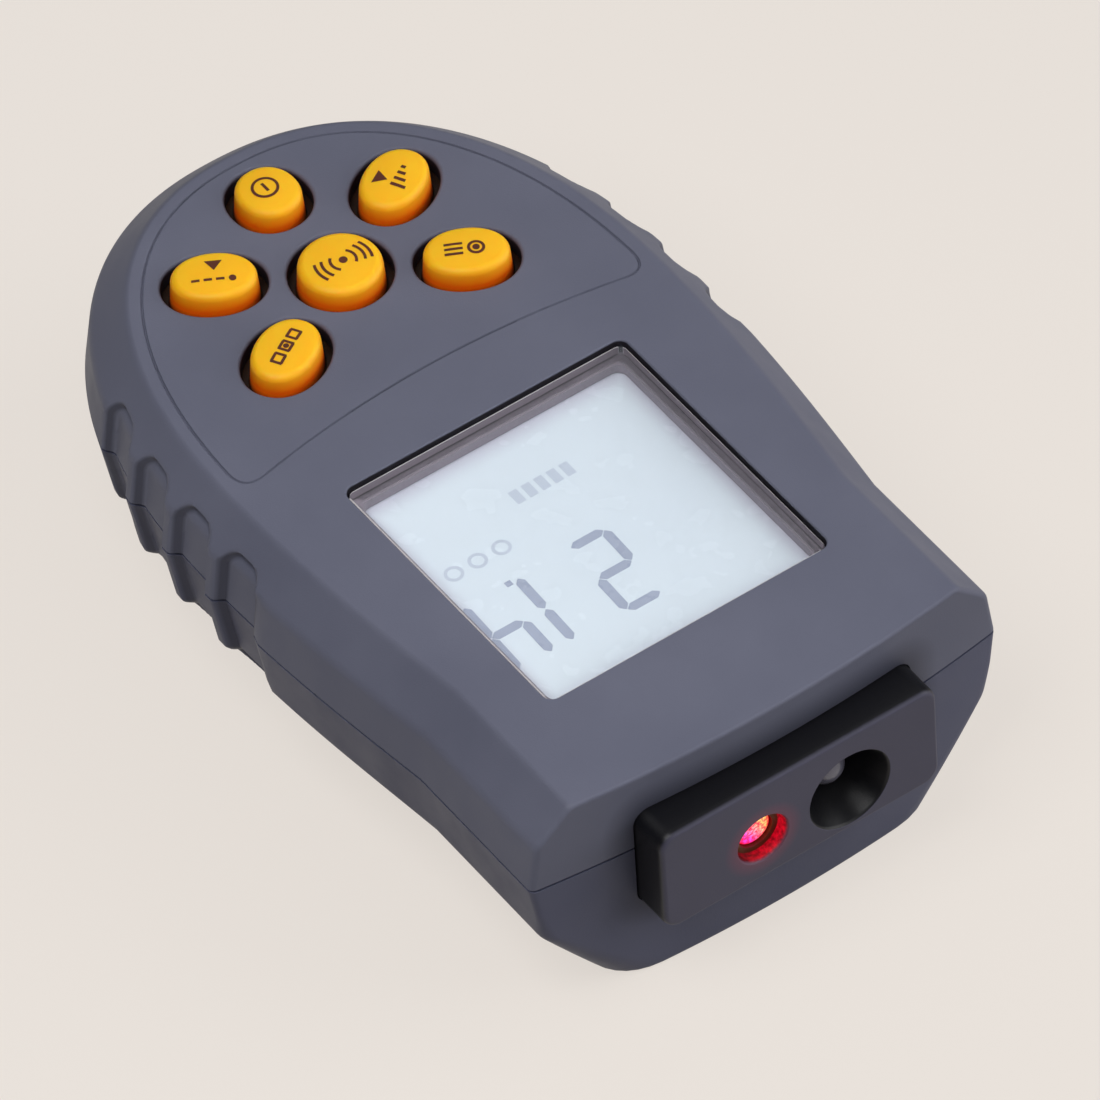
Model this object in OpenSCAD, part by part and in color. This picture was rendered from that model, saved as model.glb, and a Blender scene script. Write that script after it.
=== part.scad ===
// Hand-held laser tachometer: a two-shell case with a display window, six rubber keys,
// a sensor block in the nose and a nine-volt battery behind a sliding door.
// It lies on its back: +Z out of the display, +Y toward the nose, +X to the reader's right
// when the nose points away. The origin is under the middle of the whole object.

/* [Case] */
// Overall length, from the round end to the face of the sensor block
body_l = 114.6; // [112:0.2:124]
// Greatest width, across the grips at the parting line
grip_w = 69; // [67:0.5:75]
// Width across the nose at the parting line
nose_w = 62.6; // [60:0.2:66]
// Height of the front shell above the parting line
front_h = 10.9; // [10.5:0.1:13]
// Depth of the rear shell below the parting line
rear_h = 21; // [20.2:0.1:24]
// Thickness of the case walls
wall = 2.2; // [1.8:0.1:2.6]
// Length of the round end, from its widest line to its tip
round_l = 48.5; // [45:0.5:50]
// Squareness of the round end, 2 for a true ellipse
round_square = 2.25; // [2:0.05:2.4]
// Length of the straight sides behind the nose corners
straight_l = 20.8; // [14:0.2:26]
// How far the middle of the front wall stands ahead of the nose corners
nose_bulge = 2.4; // [1:0.1:3.5]
// Radius of the upright nose corners
nose_r = 0.8; // [0.5:0.1:1.5]
// Radius along the edges of the case
edge_r = 0.8; // [0.5:0.1:1.2]

/* [Case section] */
// Height of the upright side wall of the front shell
side_h = 6.3; // [5.5:0.1:7]
// How far the top of that side wall leans in
side_lean = 0.9; // [0.4:0.1:1.6]
// How far the deck's edge lies in from the parting line
deck_in = 5.3; // [4.5:0.1:6]
// Depth of the upright side wall of the rear shell
hip_h = 9.2; // [8.5:0.1:11]
// How far the bottom of that wall leans in
hip_lean = 1.3; // [0.8:0.1:2]
// How far the edge of the flat back lies in from the parting line
back_in = 9.1; // [8.5:0.1:9.6]
// How much further it lies in at the grips
back_flare = 1.1; // [0:0.1:1.6]
// Draft of the front wall of the rear shell
front_draft = 0.1; // [0:0.05:0.6]
// Height of the groove along the parting line
seam_h = 0.35; // [0.2:0.05:0.6]
// Depth of that groove
seam_d = 0.5; // [0.3:0.05:0.8]
// Height of the rear shell's lip that locates the front shell
lip_h = 1.2; // [0.8:0.1:1.3]
// Thickness of that lip
lip_t = 1; // [0.7:0.1:1.1]

/* [Grips] */
// Finger scoops on each side
scoop_count = 4; // [3:1:4]
// Distance from one scoop to the next
scoop_pitch = 8.8; // [8.4:0.1:9.6]
// Width of a scoop
scoop_w = 6.5; // [5.5:0.1:7]
// Depth of a scoop in the wall
scoop_d = 1.3; // [0.8:0.05:1.4]
// Radius of a scoop's corners
scoop_r = 2.5; // [1.5:0.1:2.7]
// Height of a scoop's top above the parting line
scoop_top = 7.7; // [7.2:0.1:8.4]
// Depth of a scoop's bottom below the parting line
scoop_low = 12.5; // [11:0.5:14]
// Distance of the last scoop's middle line from the round end
scoop_set = 28.7; // [27:0.1:30]

/* [Display] */
// Width of the window's recess
window_w = 37.9; // [36:0.1:39]
// Length of the window's recess
window_l = 39.5; // [38:0.1:41]
// Distance of the window's front edge behind the nose corners
window_set = 13.1; // [12.8:0.05:14]
// Radius of the window's corners
window_r = 1.3; // [0.8:0.1:2]
// Depth of the window lens below the deck
window_sink = 0.6; // [0.4:0.05:0.8]
// Thickness of the window lens
lens_t = 1.4; // [1.2:0.05:1.5]
// Width of the ledge that the lens is taped to
ledge_w = 1.3; // [1:0.1:1.6]
// Thickness of the adhesive tape
tape_t = 0.2; // [0.1:0.05:0.3]
// Thickness of each glass of the display
glass_t = 1.1; // [0.8:0.05:1.15]
// Width of the strip at each end where the front glass overhangs the rear one
glass_step = 2.4; // [2:0.1:3]
// Wall of the frame that holds the display
lcd_rim = 1.2; // [0.9:0.1:1.4]

/* [Keypad] */
// Distance of the middle key from the round end
key_set = 27.9; // [27:0.1:29]
// Radius of the ring of keys about the middle key
key_ring = 14.2; // [14:0.1:14.6]
// Radius of the hole for the middle key
key_hole_r = 6.05; // [5.8:0.05:6.1]
// Half length of the oval holes, along the ring's radius
oval_a = 6.1; // [5.8:0.05:6.2]
// Half width of the oval holes
oval_b = 4.85; // [4.6:0.05:5]
// Half length of the power key's hole, along the ring's radius
power_a = 5.2; // [4.9:0.05:5.4]
// Gap between a key and the edge of its hole
key_gap = 1.05; // [0.8:0.05:1.2]
// Height of the keys above the deck
key_rise = 1.9; // [1.5:0.05:2.4]
// Travel of a key
key_travel = 1.2; // [0.8:0.05:1.25]
// Width of the flange of a key beyond its side
key_flange = 1.7; // [1.3:0.05:1.8]
// Thickness of the flange of a key
flange_t = 1.2; // [1:0.05:1.3]
// Radius of the edge round a key's top
key_edge = 1.2; // [0.8:0.1:1.6]
// Width of the fine groove round the keypad
panel_groove_w = 0.4; // [0.3:0.05:0.6]
// Depth of that groove
panel_groove_d = 0.3; // [0.2:0.05:0.5]
// Distance of the groove from the deck's edge
panel_in = 1.5; // [1.2:0.1:1.9]
// Distance of the keypad's front corners ahead of the middle key
panel_front = 20.6; // [20:0.1:22]
// Size of the keypad's rounded front corners
panel_corner = 3; // [1.5:0.1:4]
// How far the keypad's front edge curves back
panel_sag = 3.3; // [2:0.1:3.6]

/* [Sensor block] */
// Width of the sensor block
block_w = 37; // [35:0.2:39]
// Height of the sensor block
block_h = 14.9; // [14.4:0.1:15.6]
// Distance of the block's top above the parting line
block_top = 5.2; // [4.8:0.1:5.6]
// How far the block's face stands out of the front wall
block_proud = 4.2; // [3.4:0.1:5]
// Radius of the block's corners
block_r = 2; // [1:0.1:2.5]
// Radius round the edge of the block's face
block_edge = 0.9; // [0.5:0.1:1.3]
// Distance of both apertures below the parting line
aperture_drop = 3.5; // [3.2:0.1:3.8]
// Distance of the laser aperture from the middle
laser_x = 5.2; // [5:0.1:5.6]
// Radius of the laser aperture
laser_r = 3.3; // [3.2:0.05:3.5]
// Distance of the receiver aperture from the middle
receiver_x = 6.5; // [6.3:0.1:7]
// Radius of the receiver aperture at the face
receiver_r = 5.4; // [5.2:0.05:5.6]
// Depth of the receiver's cone
receiver_depth = 7.5; // [6.5:0.1:8]
// Radius of the receiver diode's dome
dome_r = 2.5; // [2.3:0.05:2.6]
// Depth of the dome's tip behind the face
dome_sink = 2.7; // [2.2:0.1:3.2]
// Radius of the laser barrel
barrel_r = 3; // [2.8:0.05:3.05]
// Length of the laser barrel
barrel_l = 10; // [9:0.2:10.5]
// Depth of the barrel's front behind the face
barrel_sink = 1.5; // [1:0.1:2]

/* [Battery] */
// Width of the nine-volt battery
battery_w = 26.5; // [26:0.1:26.6]
// Thickness of the battery
battery_t = 17.5; // [16.5:0.1:17.6]
// Length of the battery without its terminals
battery_l = 48.5; // [47:0.1:48.6]
// Gap between the battery and the bay's side walls
battery_gap = 1.35; // [0.8:0.05:1.5]
// Distance of the bay from the round end
bay_set = 16; // [15.6:0.1:17]
// Thickness of the bay's walls
bay_wall = 1.5; // [1.2:0.1:1.8]
// Thickness of the battery door
door_t = 2.2; // [2:0.05:2.4]
// Width of the door's tongues
tongue_w = 1.3; // [1:0.1:1.5]
// Travel of the door before it leaves its rails, which is the length of its tongues
door_travel = 40; // [30:1:45]

/* [Boards and fasteners] */
// Distance of the sensor board behind the nose corners
sensor_board_set = 10.6; // [10.4:0.1:11]
// Thickness of the main board
board_t = 1.6; // [1.2:0.1:1.6]
// Height of the main board's top above the parting line
board_top = 4.6; // [4.5:0.05:4.7]
// Radius of the case screws' shanks
screw_r = 1.3; // [1.1:0.05:1.4]
// Radius of the case screws' heads
head_r = 2.4; // [2.1:0.05:2.5]
// Radius of the case screws' bosses
boss_r = 2.9; // [2.6:0.05:3]
// Distance of the front case screws from the middle
front_screw_x = 16; // [15.5:0.1:17]
// Distance of the front case screws behind the nose corners
front_screw_set = 7.2; // [7:0.1:7.6]
// Distance of the grip case screws from the middle
grip_screw_x = 20.9; // [20.8:0.05:21.1]
// Distance of the grip case screws behind the nose corners
grip_screw_set = 61.5; // [60:0.1:62]

/* [Hidden] */

// General values: a running gap, a snug gap and the overrun of cuts
gap = 0.15;
clear = 0.3;
over = 1;
arc_fn = 48;

// Main places: the parting line's height, the deck's height, and the two ends
part_z = rear_h;
deck_z = part_z + front_h;
far_y = -body_l / 2;
face_y = body_l / 2;
nose_y = face_y - block_proud - nose_bulge;
grip_y = far_y + round_l;
straight_y = nose_y - straight_l;
window_y = nose_y - window_set - window_l / 2;
key_y = far_y + key_set;
deck_under_z = deck_z - wall;
board_z = part_z + board_top;

// Shares that shape the inner faces of the walls
wall_turn_share = 0.45;
side_steps = 7;
front_steps = 6;
corner_steps = 3;
round_step = 6;
key_fn = 32;

// A unit vector, a point on a quadratic curve, and a path with its corners rounded
function unit(v) = v / norm(v);
function curve(a, b, c, t) = a * (1 - t) * (1 - t) + b * 2 * t * (1 - t) + c * t * t;
function reach(a, b, r) = a + unit(b - a) * min(r, norm(b - a) / 2);
function rounded(path, r, n) = [
    path[0],
    for (i = [1 : len(path) - 2])
        for (k = [0 : n])
            curve(reach(path[i], path[i - 1], r), path[i], reach(path[i], path[i + 1], r), k / n),
    path[len(path) - 1]
];

// A solid through rings of points, from the lowest ring to the highest, each anticlockwise
module loft(rings) {
    n = len(rings[0]);
    m = len(rings);
    polyhedron(
        points = [for (ring = rings) each ring],
        faces = concat(
            [[for (i = [0 : n - 1]) i]],
            [[for (i = [0 : n - 1]) m * n - 1 - i]],
            [for (j = [0 : m - 2]) for (i = [0 : n - 1]) [j * n + i, (j + 1) * n + i, (j + 1) * n + (i + 1) % n]],
            [for (j = [0 : m - 2]) for (i = [0 : n - 1]) [j * n + i, (j + 1) * n + (i + 1) % n, j * n + (i + 1) % n]]
        ));
}

// The case's outline in plan, drawn in by side_in all round, by front_in at the front
// and by grip_in more at the grips and the round end
function front_line(x, front_in) = nose_y + nose_bulge * (1 - pow(2 * x / nose_w, 2)) - front_in;
function half_outline(side_in, front_in, grip_in) =
    let (w = nose_w / 2 - side_in, g = grip_w / 2 - side_in - grip_in, b = round_l - side_in - grip_in,
         cx = w - nose_r, cy = front_line(w, front_in))
    concat(
        [for (i = [0 : front_steps]) [cx * i / front_steps, front_line(cx * i / front_steps, front_in)]],
        [for (k = [1 : corner_steps])
            curve([cx, front_line(cx, front_in)], [w, cy], [w, cy - nose_r], k / corner_steps)],
        [[w, straight_y]],
        [for (k = [1 : side_steps - 1])
            [w + (g - w) * sin(90 * k / side_steps), straight_y + (grip_y - straight_y) * k / side_steps]],
        [for (a = [0 : round_step : 90])
            [g * pow(cos(a), 2 / round_square), grip_y - b * pow(sin(a), 2 / round_square)]]
    );
function outline(side_in, front_in, grip_in = 0) =
    let (half = half_outline(side_in, front_in, grip_in), last = len(half) - 1)
    concat([for (p = half) [-p.x, p.y]], [for (i = [last - 1 : -1 : 1]) half[i]]);
// A ring of the case at a height above the parting line: [height, side, front and grip insets]
function case_ring(v) = [for (p = outline(v[1], v[2], v[3])) [p.x, p.y, part_z + v[0]]];

// The outer section of each shell, from its lowest ring to its highest
front_section = rounded([
    [0, 0, 0, 0],
    [side_h, side_lean, 0, 0],
    [front_h, deck_in, 0, 0],
    [front_h, deck_in + edge_r, edge_r, 0]
], edge_r, 3);
rear_section = rounded([
    [-rear_h, back_in + edge_r, front_draft + edge_r, back_flare],
    [-rear_h, back_in, front_draft, back_flare],
    [-hip_h, hip_lean, front_draft / 2, 0],
    [-seam_h, 0, 0, 0]
], edge_r, 3);
module front_solid(side_in) {
    loft([for (v = front_section) case_ring([v[0], v[1] + side_in, v[2], v[3]])]);
}
module rear_solid(side_in) {
    loft([for (v = rear_section) case_ring([v[0], v[1] + side_in, v[2] + side_in / 2, v[3]])]);
}

// A rectangle with round corners, as points, and rings of it in the three directions
function round_rect(w, l, r, n = 4) = [
    for (q = [0 : 3])
        for (k = [0 : n])
            let (a = 90 * (q + k / n), sx = (q == 0 || q == 3) ? 1 : -1, sy = q < 2 ? 1 : -1)
            [sx * (w / 2 - r) + r * cos(a), sy * (l / 2 - r) + r * sin(a)]
];
function level(points, at, z) = [for (p = points) [p.x + at.x, p.y + at.y, z]];
function upright(points, at, y) = [for (p = points) [p.x + at.x, y, p.y + at[1]]];

// An oval as points: a superellipse, a little squarer than an ellipse
function oval(a, b, n, turn = 0) = [
    for (t = [0 : 360 / key_fn : 359])
        let (c = cos(t), s = sin(t), x = a * sign(c) * pow(abs(c), 2 / n), y = b * sign(s) * pow(abs(s), 2 / n))
        [x * cos(turn) - y * sin(turn), x * sin(turn) + y * cos(turn)]
];

// A tube along a route of points: rings square to the way at each point
tube_sides = 8;
function heading(path, i) = unit(path[min(i + 1, len(path) - 1)] - path[max(i - 1, 0)]);
function tube_ring(at, dir, r) =
    let (side = unit(cross(dir, abs(dir.z) < 0.9 ? [0, 0, 1] : [1, 0, 0])), up = cross(side, dir))
    [for (k = [0 : tube_sides - 1]) at + r * (cos(360 * k / tube_sides) * side - sin(360 * k / tube_sides) * up)];
module tube(path, r) {
    loft([for (i = [0 : len(path) - 1]) tube_ring(path[i], heading(path, i), r)]);
}

// Grips: scoops across the sides, cut down to a core that lies scoop_d inside the wall
module scoop(side, y) {
    translate([side * grip_w / 4, y, part_z])
        rotate([0, 90 * side, 0])
            linear_extrude(height = grip_w / 2)
                translate([-side * (scoop_top - scoop_low) / 2, 0])
                    polygon(round_rect(scoop_top + scoop_low, scoop_w, scoop_r));
}
module scoops() {
    for (side = [-1, 1])
        for (i = [0 : scoop_count - 1])
            scoop(side, far_y + scoop_set + i * scoop_pitch);
}

// Case screws: their places, [x, y]
case_screw_places = [
    for (side = [-1, 1]) each [
        [side * front_screw_x, nose_y - front_screw_set],
        [side * grip_screw_x, nose_y - grip_screw_set]
    ]
];
screw_seat_z = part_z - hip_h;
screw_top_z = part_z + side_h - wall / 2;
head_t = 1.8;
well_r = head_r + gap;
well_wall = 1.2;

// Board screws: their places beside the display, and their sizes
board_screw_r = 0.9;
board_head_r = 1.9;
board_head_t = 1.1;
standoff_r = 2.1;
board_screw_x = window_w / 2 + lcd_rim + standoff_r + clear;
board_screw_places = [
    for (side = [-1, 1]) each [
        [side * board_screw_x, window_y + window_l / 2 - standoff_r],
        [side * board_screw_x, window_y - window_l / 2 + standoff_r]
    ]
];

// Keys: [half length, half width, turn, x, y, squareness] of each key's hole
round_share = 2;
oval_share = 2.1;
function ring_key(a, angle) = [a, oval_b, angle, key_ring * cos(angle), key_y + key_ring * sin(angle), oval_share];
middle_key = [key_hole_r, key_hole_r, 0, 0, key_y, round_share];
power_place = ring_key(power_a, 270);
mode_place = ring_key(oval_a, 30);
store_place = ring_key(oval_a, 150);
peak_place = ring_key(oval_a, 210);
beam_place = ring_key(oval_a, 330);
key_places = [middle_key, power_place, mode_place, store_place, peak_place, beam_place];
function key_outline(k, grow) = oval(k[0] + grow, k[1] + grow, k[5], k[2]);

// Heights of the key stack: the pill hangs a travel above the board, the flange under the deck
pill_t = 0.6;
pill_r = 2.4;
mat_t = 1.2;
pill_z = board_z + key_travel + gap / 2;
flange_z = deck_under_z - clear - flange_t;

// The outline of the keypad's panel, inside the deck's edge, with its front corners rounded
panel_front_y = key_y + panel_front;
panel_steps = 12;
panel_edge = [
    for (p = outline(deck_in + panel_in, deck_in + panel_in))
        if (p.y < panel_front_y - panel_corner) p
];
panel_x = max([for (p = panel_edge) p.x]);
function panel_line(x) = panel_front_y - panel_sag * (1 - pow(x / panel_x, 2));
panel_turn = [
    for (k = [1 : corner_steps])
        curve([panel_corner - panel_x, panel_line(panel_x - panel_corner)], [-panel_x, panel_front_y],
              panel_edge[0], k / (corner_steps + 1))
];
panel_points = concat(
    [for (i = [-panel_steps : panel_steps])
        let (x = (panel_corner - panel_x) * i / panel_steps) [x, panel_line(x)]],
    panel_turn,
    panel_edge,
    [for (i = [corner_steps - 1 : -1 : 0]) [-panel_turn[i].x, panel_turn[i].y]]
);

// Display stack, from the deck down
lens_z = deck_z - window_sink - lens_t;
tape_z = lens_z - tape_t;
ledge_t = 1.2;
ledge_z = tape_z - ledge_t;
lcd_top_z = ledge_z - gap;
lens_gap = 0.25;
lcd_w = window_w - 2 * lens_gap;
lcd_l = window_l + ledge_w;
reflector_t = 0.3;

// Battery bay: its inside half width and its ends, and the battery in it
bay_x = battery_w / 2 + battery_gap;
bay_far_y = far_y + bay_set;
pad_t = 1.6;
battery_far_y = bay_far_y + pad_t;
battery_near_y = battery_far_y + battery_l;
terminal_l = 2.6;
snap_t = 4.6;
bay_near_y = battery_near_y + snap_t + 2 * clear;
door_near_y = bay_near_y + bay_wall;
rail_far_y = door_near_y - door_travel;
cheek_t = 0.9;
rail_top = door_t + gap;
rim_w = 3;
rim_t = 1.4;
battery_z = door_t + clear;
bay_top_z = battery_z + battery_t - over;

// Sensor block: its middle height, the aperture axis and the depths behind the face
block_z = part_z + block_top - block_h / 2;
aperture_z = part_z - aperture_drop;
collar = 1.4;
collar_t = 1.6;
collar_y = front_line(block_w / 2 + collar, wall) - gap - collar_t;
sleeve_wall = 1.2;
block_back_y = collar_y;
barrel_front_y = face_y - barrel_sink;
barrel_back_y = barrel_front_y - barrel_l;
sleeve_back_y = barrel_back_y + over;
receiver_back_y = face_y - receiver_depth;
cone_back_r = dome_r + gap / 3;
diode_flange = 0.5;
diode_flange_t = 1.2;
sensor_board_t = 1.2;
sensor_board_y = nose_y - sensor_board_set;
sensor_board_w = 27;
laser_can_l = 2.4;
laser_can_r = 2.4;
leg_r = 0.25;

module block_opening() {
    translate([0, nose_y - wall - over, block_z])
        rotate([-90, 0, 0])
            linear_extrude(height = wall + nose_bulge + 2 * over)
                polygon(round_rect(block_w + 2 * gap, block_h + 2 * gap, block_r + gap));
}

module top_case() {
    color([0.38, 0.38, 0.43])
    difference() {
        union() {
            difference() {
                front_solid(0);
                front_cavity();
            }
            // bosses for the case screws, down to the rear shell's bosses
            for (p = case_screw_places)
                translate([p.x, p.y, part_z])
                    cylinder(r = boss_r, h = side_h, $fn = arc_fn);
            // the bosses' upper ends run into the deck
            for (p = case_screw_places)
                translate([p.x, p.y, part_z + side_h - over])
                    cylinder(r = boss_r, h = front_h - side_h - wall / 2 + over, $fn = arc_fn);
            // standoffs that carry the main board
            for (p = board_screw_places)
                translate([p.x, p.y, board_z])
                    cylinder(r = standoff_r, h = deck_z - wall / 2 - board_z, $fn = arc_fn);
            // frame under the deck that holds the window's ledge
            translate([0, window_y, ledge_z])
                linear_extrude(height = deck_z - wall / 2 - ledge_z)
                    polygon(round_rect(window_w + 2 * lcd_rim, window_l + 2 * lcd_rim, window_r));
        }
        // recess of the window lens, and the opening over the display
        translate([0, window_y, tape_z])
            linear_extrude(height = front_h)
                polygon(round_rect(window_w, window_l, window_r));
        translate([0, window_y, ledge_z - over])
            linear_extrude(height = front_h)
                polygon(round_rect(window_w - 2 * ledge_w, window_l - 2 * ledge_w, window_r));
        // holes for the keys
        for (k = key_places)
            translate([k[3], k[4], deck_under_z - over])
                linear_extrude(height = wall + 2 * over)
                    polygon(key_outline(k, 0));
        // fine groove round the keypad
        translate([0, 0, deck_z - panel_groove_d])
            linear_extrude(height = over)
                difference() {
                    polygon(panel_points);
                    offset(delta = -panel_groove_w) polygon(panel_points);
                }
        // finger scoops
        difference() {
            scoops();
            front_solid(scoop_d);
        }
        block_opening();
        // pilot holes for the screws
        for (p = case_screw_places)
            translate([p.x, p.y, part_z - over])
                cylinder(r = screw_r, h = screw_top_z - part_z + over, $fn = arc_fn);
        for (p = board_screw_places)
            translate([p.x, p.y, board_z - over])
                cylinder(r = board_screw_r, h = deck_under_z - board_z, $fn = arc_fn);
    }
}
module front_cavity() {
    loft([for (v = [
        [-over, wall, wall, 0],
        [lip_h + gap, wall, wall, 0],
        [side_h - wall * wall_turn_share, side_lean + wall, wall, 0],
        [front_h - wall, deck_in + wall * wall_turn_share, wall, 0]
    ]) case_ring(v)]);
}

module bottom_case() {
    color([0.34, 0.34, 0.39])
    difference() {
        union() {
            difference() {
                rear_shell();
                rear_cavity();
            }
            // what stands inside the shell ends at its walls
            intersection() {
                rear_solid(wall / 2);
                union() {
                    bay_walls();
                    screw_wells();
                }
            }
        }
        // way of the door: its opening, wide behind the rails, and the room for its tongues
        translate([-bay_x, far_y - over, -over])
            cube([2 * bay_x, door_near_y + gap - far_y + over, rail_top + over]);
        translate([-bay_x - tongue_w, far_y - over, -over])
            cube([2 * (bay_x + tongue_w), rail_far_y + gap - far_y + over, rail_top + over]);
        translate([-bay_x - tongue_w, far_y - over, cheek_t])
            cube([2 * (bay_x + tongue_w), door_near_y + gap - far_y + over, rail_top - cheek_t]);
        // room for the sensor block's collar behind the front wall
        translate([0, collar_y - gap, block_z])
            rotate([-90, 0, 0])
                linear_extrude(height = collar_t + 1.5 * gap)
                    polygon(round_rect(block_w + 2 * (collar + gap), block_h + 2 * (collar + gap), block_r));
        // the battery's bay
        translate([-bay_x, bay_far_y, cheek_t])
            cube([2 * bay_x, bay_near_y - bay_far_y, part_z]);
        // slot where the leads leave the bay
        translate([-lead_x - lead_r - clear, bay_near_y - over, lead_z - lead_r - clear])
            cube([2 * (lead_x + lead_r + clear), bay_wall + 2 * over, part_z]);
        // wells and through holes of the case screws
        for (p = case_screw_places) {
            translate([p.x, p.y, -over])
                cylinder(r = well_r, h = screw_seat_z + over, $fn = arc_fn);
            translate([p.x, p.y, -over])
                cylinder(r = screw_r + gap, h = part_z + 2 * over, $fn = arc_fn);
        }
        difference() {
            scoops();
            rear_solid(scoop_d);
        }
        block_opening();
    }
}
module rear_shell() {
    lip_in = wall + gap;
    steps = [
        [-seam_h, seam_d, seam_d, 0],
        [0, seam_d, seam_d, 0],
        [0, lip_in, lip_in, 0],
        [lip_h, lip_in, lip_in, 0]
    ];
    loft([for (v = concat(rear_section, steps)) case_ring(v)]);
}
module rear_cavity() {
    loft([for (v = [
        [wall - rear_h, back_in + wall * wall_turn_share, front_draft + wall, back_flare],
        [wall * wall_turn_share - hip_h, hip_lean + wall, front_draft / 2 + wall, 0],
        [-2 * lip_h, wall, wall, 0],
        [-lip_h, wall + gap + lip_t, wall + gap + lip_t, 0],
        [lip_h + over, wall + gap + lip_t, wall + gap + lip_t, 0]
    ]) case_ring(v)]);
}
module bay_walls() {
    // rim that carries the rails, and the walls that stand on it
    translate([-bay_x - rim_w, bay_far_y - bay_wall, wall / 2])
        cube([2 * (bay_x + rim_w), bay_near_y - bay_far_y + 2 * bay_wall, rail_top + rim_t - wall / 2]);
    translate([-bay_x - bay_wall, bay_far_y - bay_wall, wall / 2])
        cube([2 * (bay_x + bay_wall), bay_near_y - bay_far_y + 2 * bay_wall, bay_top_z - wall / 2]);
}
module screw_wells() {
    for (p = case_screw_places) {
        translate([p.x, p.y, wall / 2])
            cylinder(r = well_r + well_wall, h = screw_seat_z + well_wall - wall / 2, $fn = arc_fn);
        translate([p.x, p.y, screw_seat_z])
            cylinder(r = boss_r, h = part_z - screw_seat_z, $fn = arc_fn);
    }
}

module battery_door() {
    ridge_w = 1.2;
    ridge_d = 0.5;
    ridge_pitch = 2.6;
    ridge_count = 5;
    ridge_l = 16;
    color([0.33, 0.33, 0.38])
    difference() {
        intersection() {
            rear_solid(0);
            union() {
                translate([gap - bay_x, far_y - over, -over])
                    cube([2 * (bay_x - gap), door_near_y - far_y + over, door_t + over]);
                translate([gap - bay_x - tongue_w, far_y - over, -over])
                    cube([2 * (bay_x + tongue_w - gap), rail_far_y - far_y + over, door_t + over]);
                translate([gap - bay_x - tongue_w, far_y - over, cheek_t + gap])
                    cube([2 * (bay_x + tongue_w - gap), door_near_y - far_y + over, door_t - cheek_t - gap]);
            }
        }
        // finger ridges
        for (i = [0 : ridge_count - 1])
            translate([-ridge_l / 2, door_near_y - ridge_pitch * (i + 2), -over])
                cube([ridge_l, ridge_w, ridge_d + over]);
    }
}

module sensor_block() {
    rings = rounded([[face_y, block_edge], [face_y, 0], [block_back_y, 0]], block_edge, 4);
    color([0.2, 0.2, 0.23])
    difference() {
        union() {
            // the block runs through the wall to the back of its collar
            loft([for (v = rings)
                upright(round_rect(block_w - 2 * v[1], block_h - 2 * v[1], block_r), [0, block_z], v[0])]);
            translate([0, collar_y, block_z])
                rotate([-90, 0, 0])
                    linear_extrude(height = collar_t)
                        polygon(round_rect(block_w + 2 * collar, block_h + 2 * collar, block_r));
            // sleeve round the laser barrel, and the receiver's tube
            translate([laser_x, sleeve_back_y, aperture_z])
                rotate([-90, 0, 0])
                    cylinder(r = barrel_r + sleeve_wall, h = block_back_y - sleeve_back_y + over, $fn = arc_fn);
            translate([-receiver_x, receiver_back_y - diode_flange_t, aperture_z])
                rotate([-90, 0, 0])
                    cylinder(r = dome_r + diode_flange + sleeve_wall, h = face_y - receiver_back_y - over,
                             $fn = arc_fn);
        }
        translate([laser_x, sleeve_back_y - over, aperture_z])
            rotate([-90, 0, 0])
                cylinder(r = barrel_r, h = face_y - sleeve_back_y, $fn = arc_fn);
        translate([laser_x, barrel_front_y, aperture_z])
            rotate([-90, 0, 0])
                cylinder(r = laser_r, h = barrel_sink + over, $fn = arc_fn);
        // the receiver's cone, and the seat of its diode
        translate([-receiver_x, receiver_back_y, aperture_z])
            rotate([-90, 0, 0])
                cylinder(r1 = cone_back_r, r2 = receiver_r, h = receiver_depth, $fn = arc_fn);
        translate([-receiver_x, receiver_back_y - diode_flange_t - over, aperture_z])
            rotate([-90, 0, 0])
                cylinder(r = dome_r + diode_flange, h = diode_flange_t + over, $fn = arc_fn);
        translate([-receiver_x, receiver_back_y - over, aperture_z])
            rotate([-90, 0, 0])
                cylinder(r = cone_back_r, h = 2 * over, $fn = arc_fn);
    }
}
module laser_barrel() {
    mouth_r = 2.3;
    mouth_l = 1;
    color([0.75, 0.6, 0.3])
    translate([laser_x, barrel_back_y, aperture_z])
        rotate([-90, 0, 0])
            difference() {
                cylinder(r = barrel_r, h = barrel_l, $fn = arc_fn);
                translate([0, 0, barrel_l - mouth_l])
                    cylinder(r = mouth_r, h = mouth_l + over, $fn = arc_fn);
                translate([0, 0, -over])
                    cylinder(r = mouth_r / 2, h = barrel_l, $fn = arc_fn);
            }
}
module laser_lens() {
    lens_r = 2.2;
    lens_len = 0.7;
    color([0.9, 0.1, 0.15])
    translate([laser_x, barrel_front_y - over, aperture_z])
        rotate([-90, 0, 0])
            cylinder(r = lens_r, h = lens_len, $fn = arc_fn);
}
module laser_diode() {
    leg_x = 0.9;
    color([0.8, 0.75, 0.55])
    union() {
        translate([laser_x, barrel_back_y - laser_can_l, aperture_z])
            rotate([-90, 0, 0])
                cylinder(r = laser_can_r, h = laser_can_l, $fn = arc_fn);
        for (side = [-1, 1])
            translate([laser_x + side * leg_x, sensor_board_y, aperture_z])
                rotate([-90, 0, 0])
                    cylinder(r = leg_r, h = barrel_back_y - laser_can_l - sensor_board_y, $fn = 16);
    }
}
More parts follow.
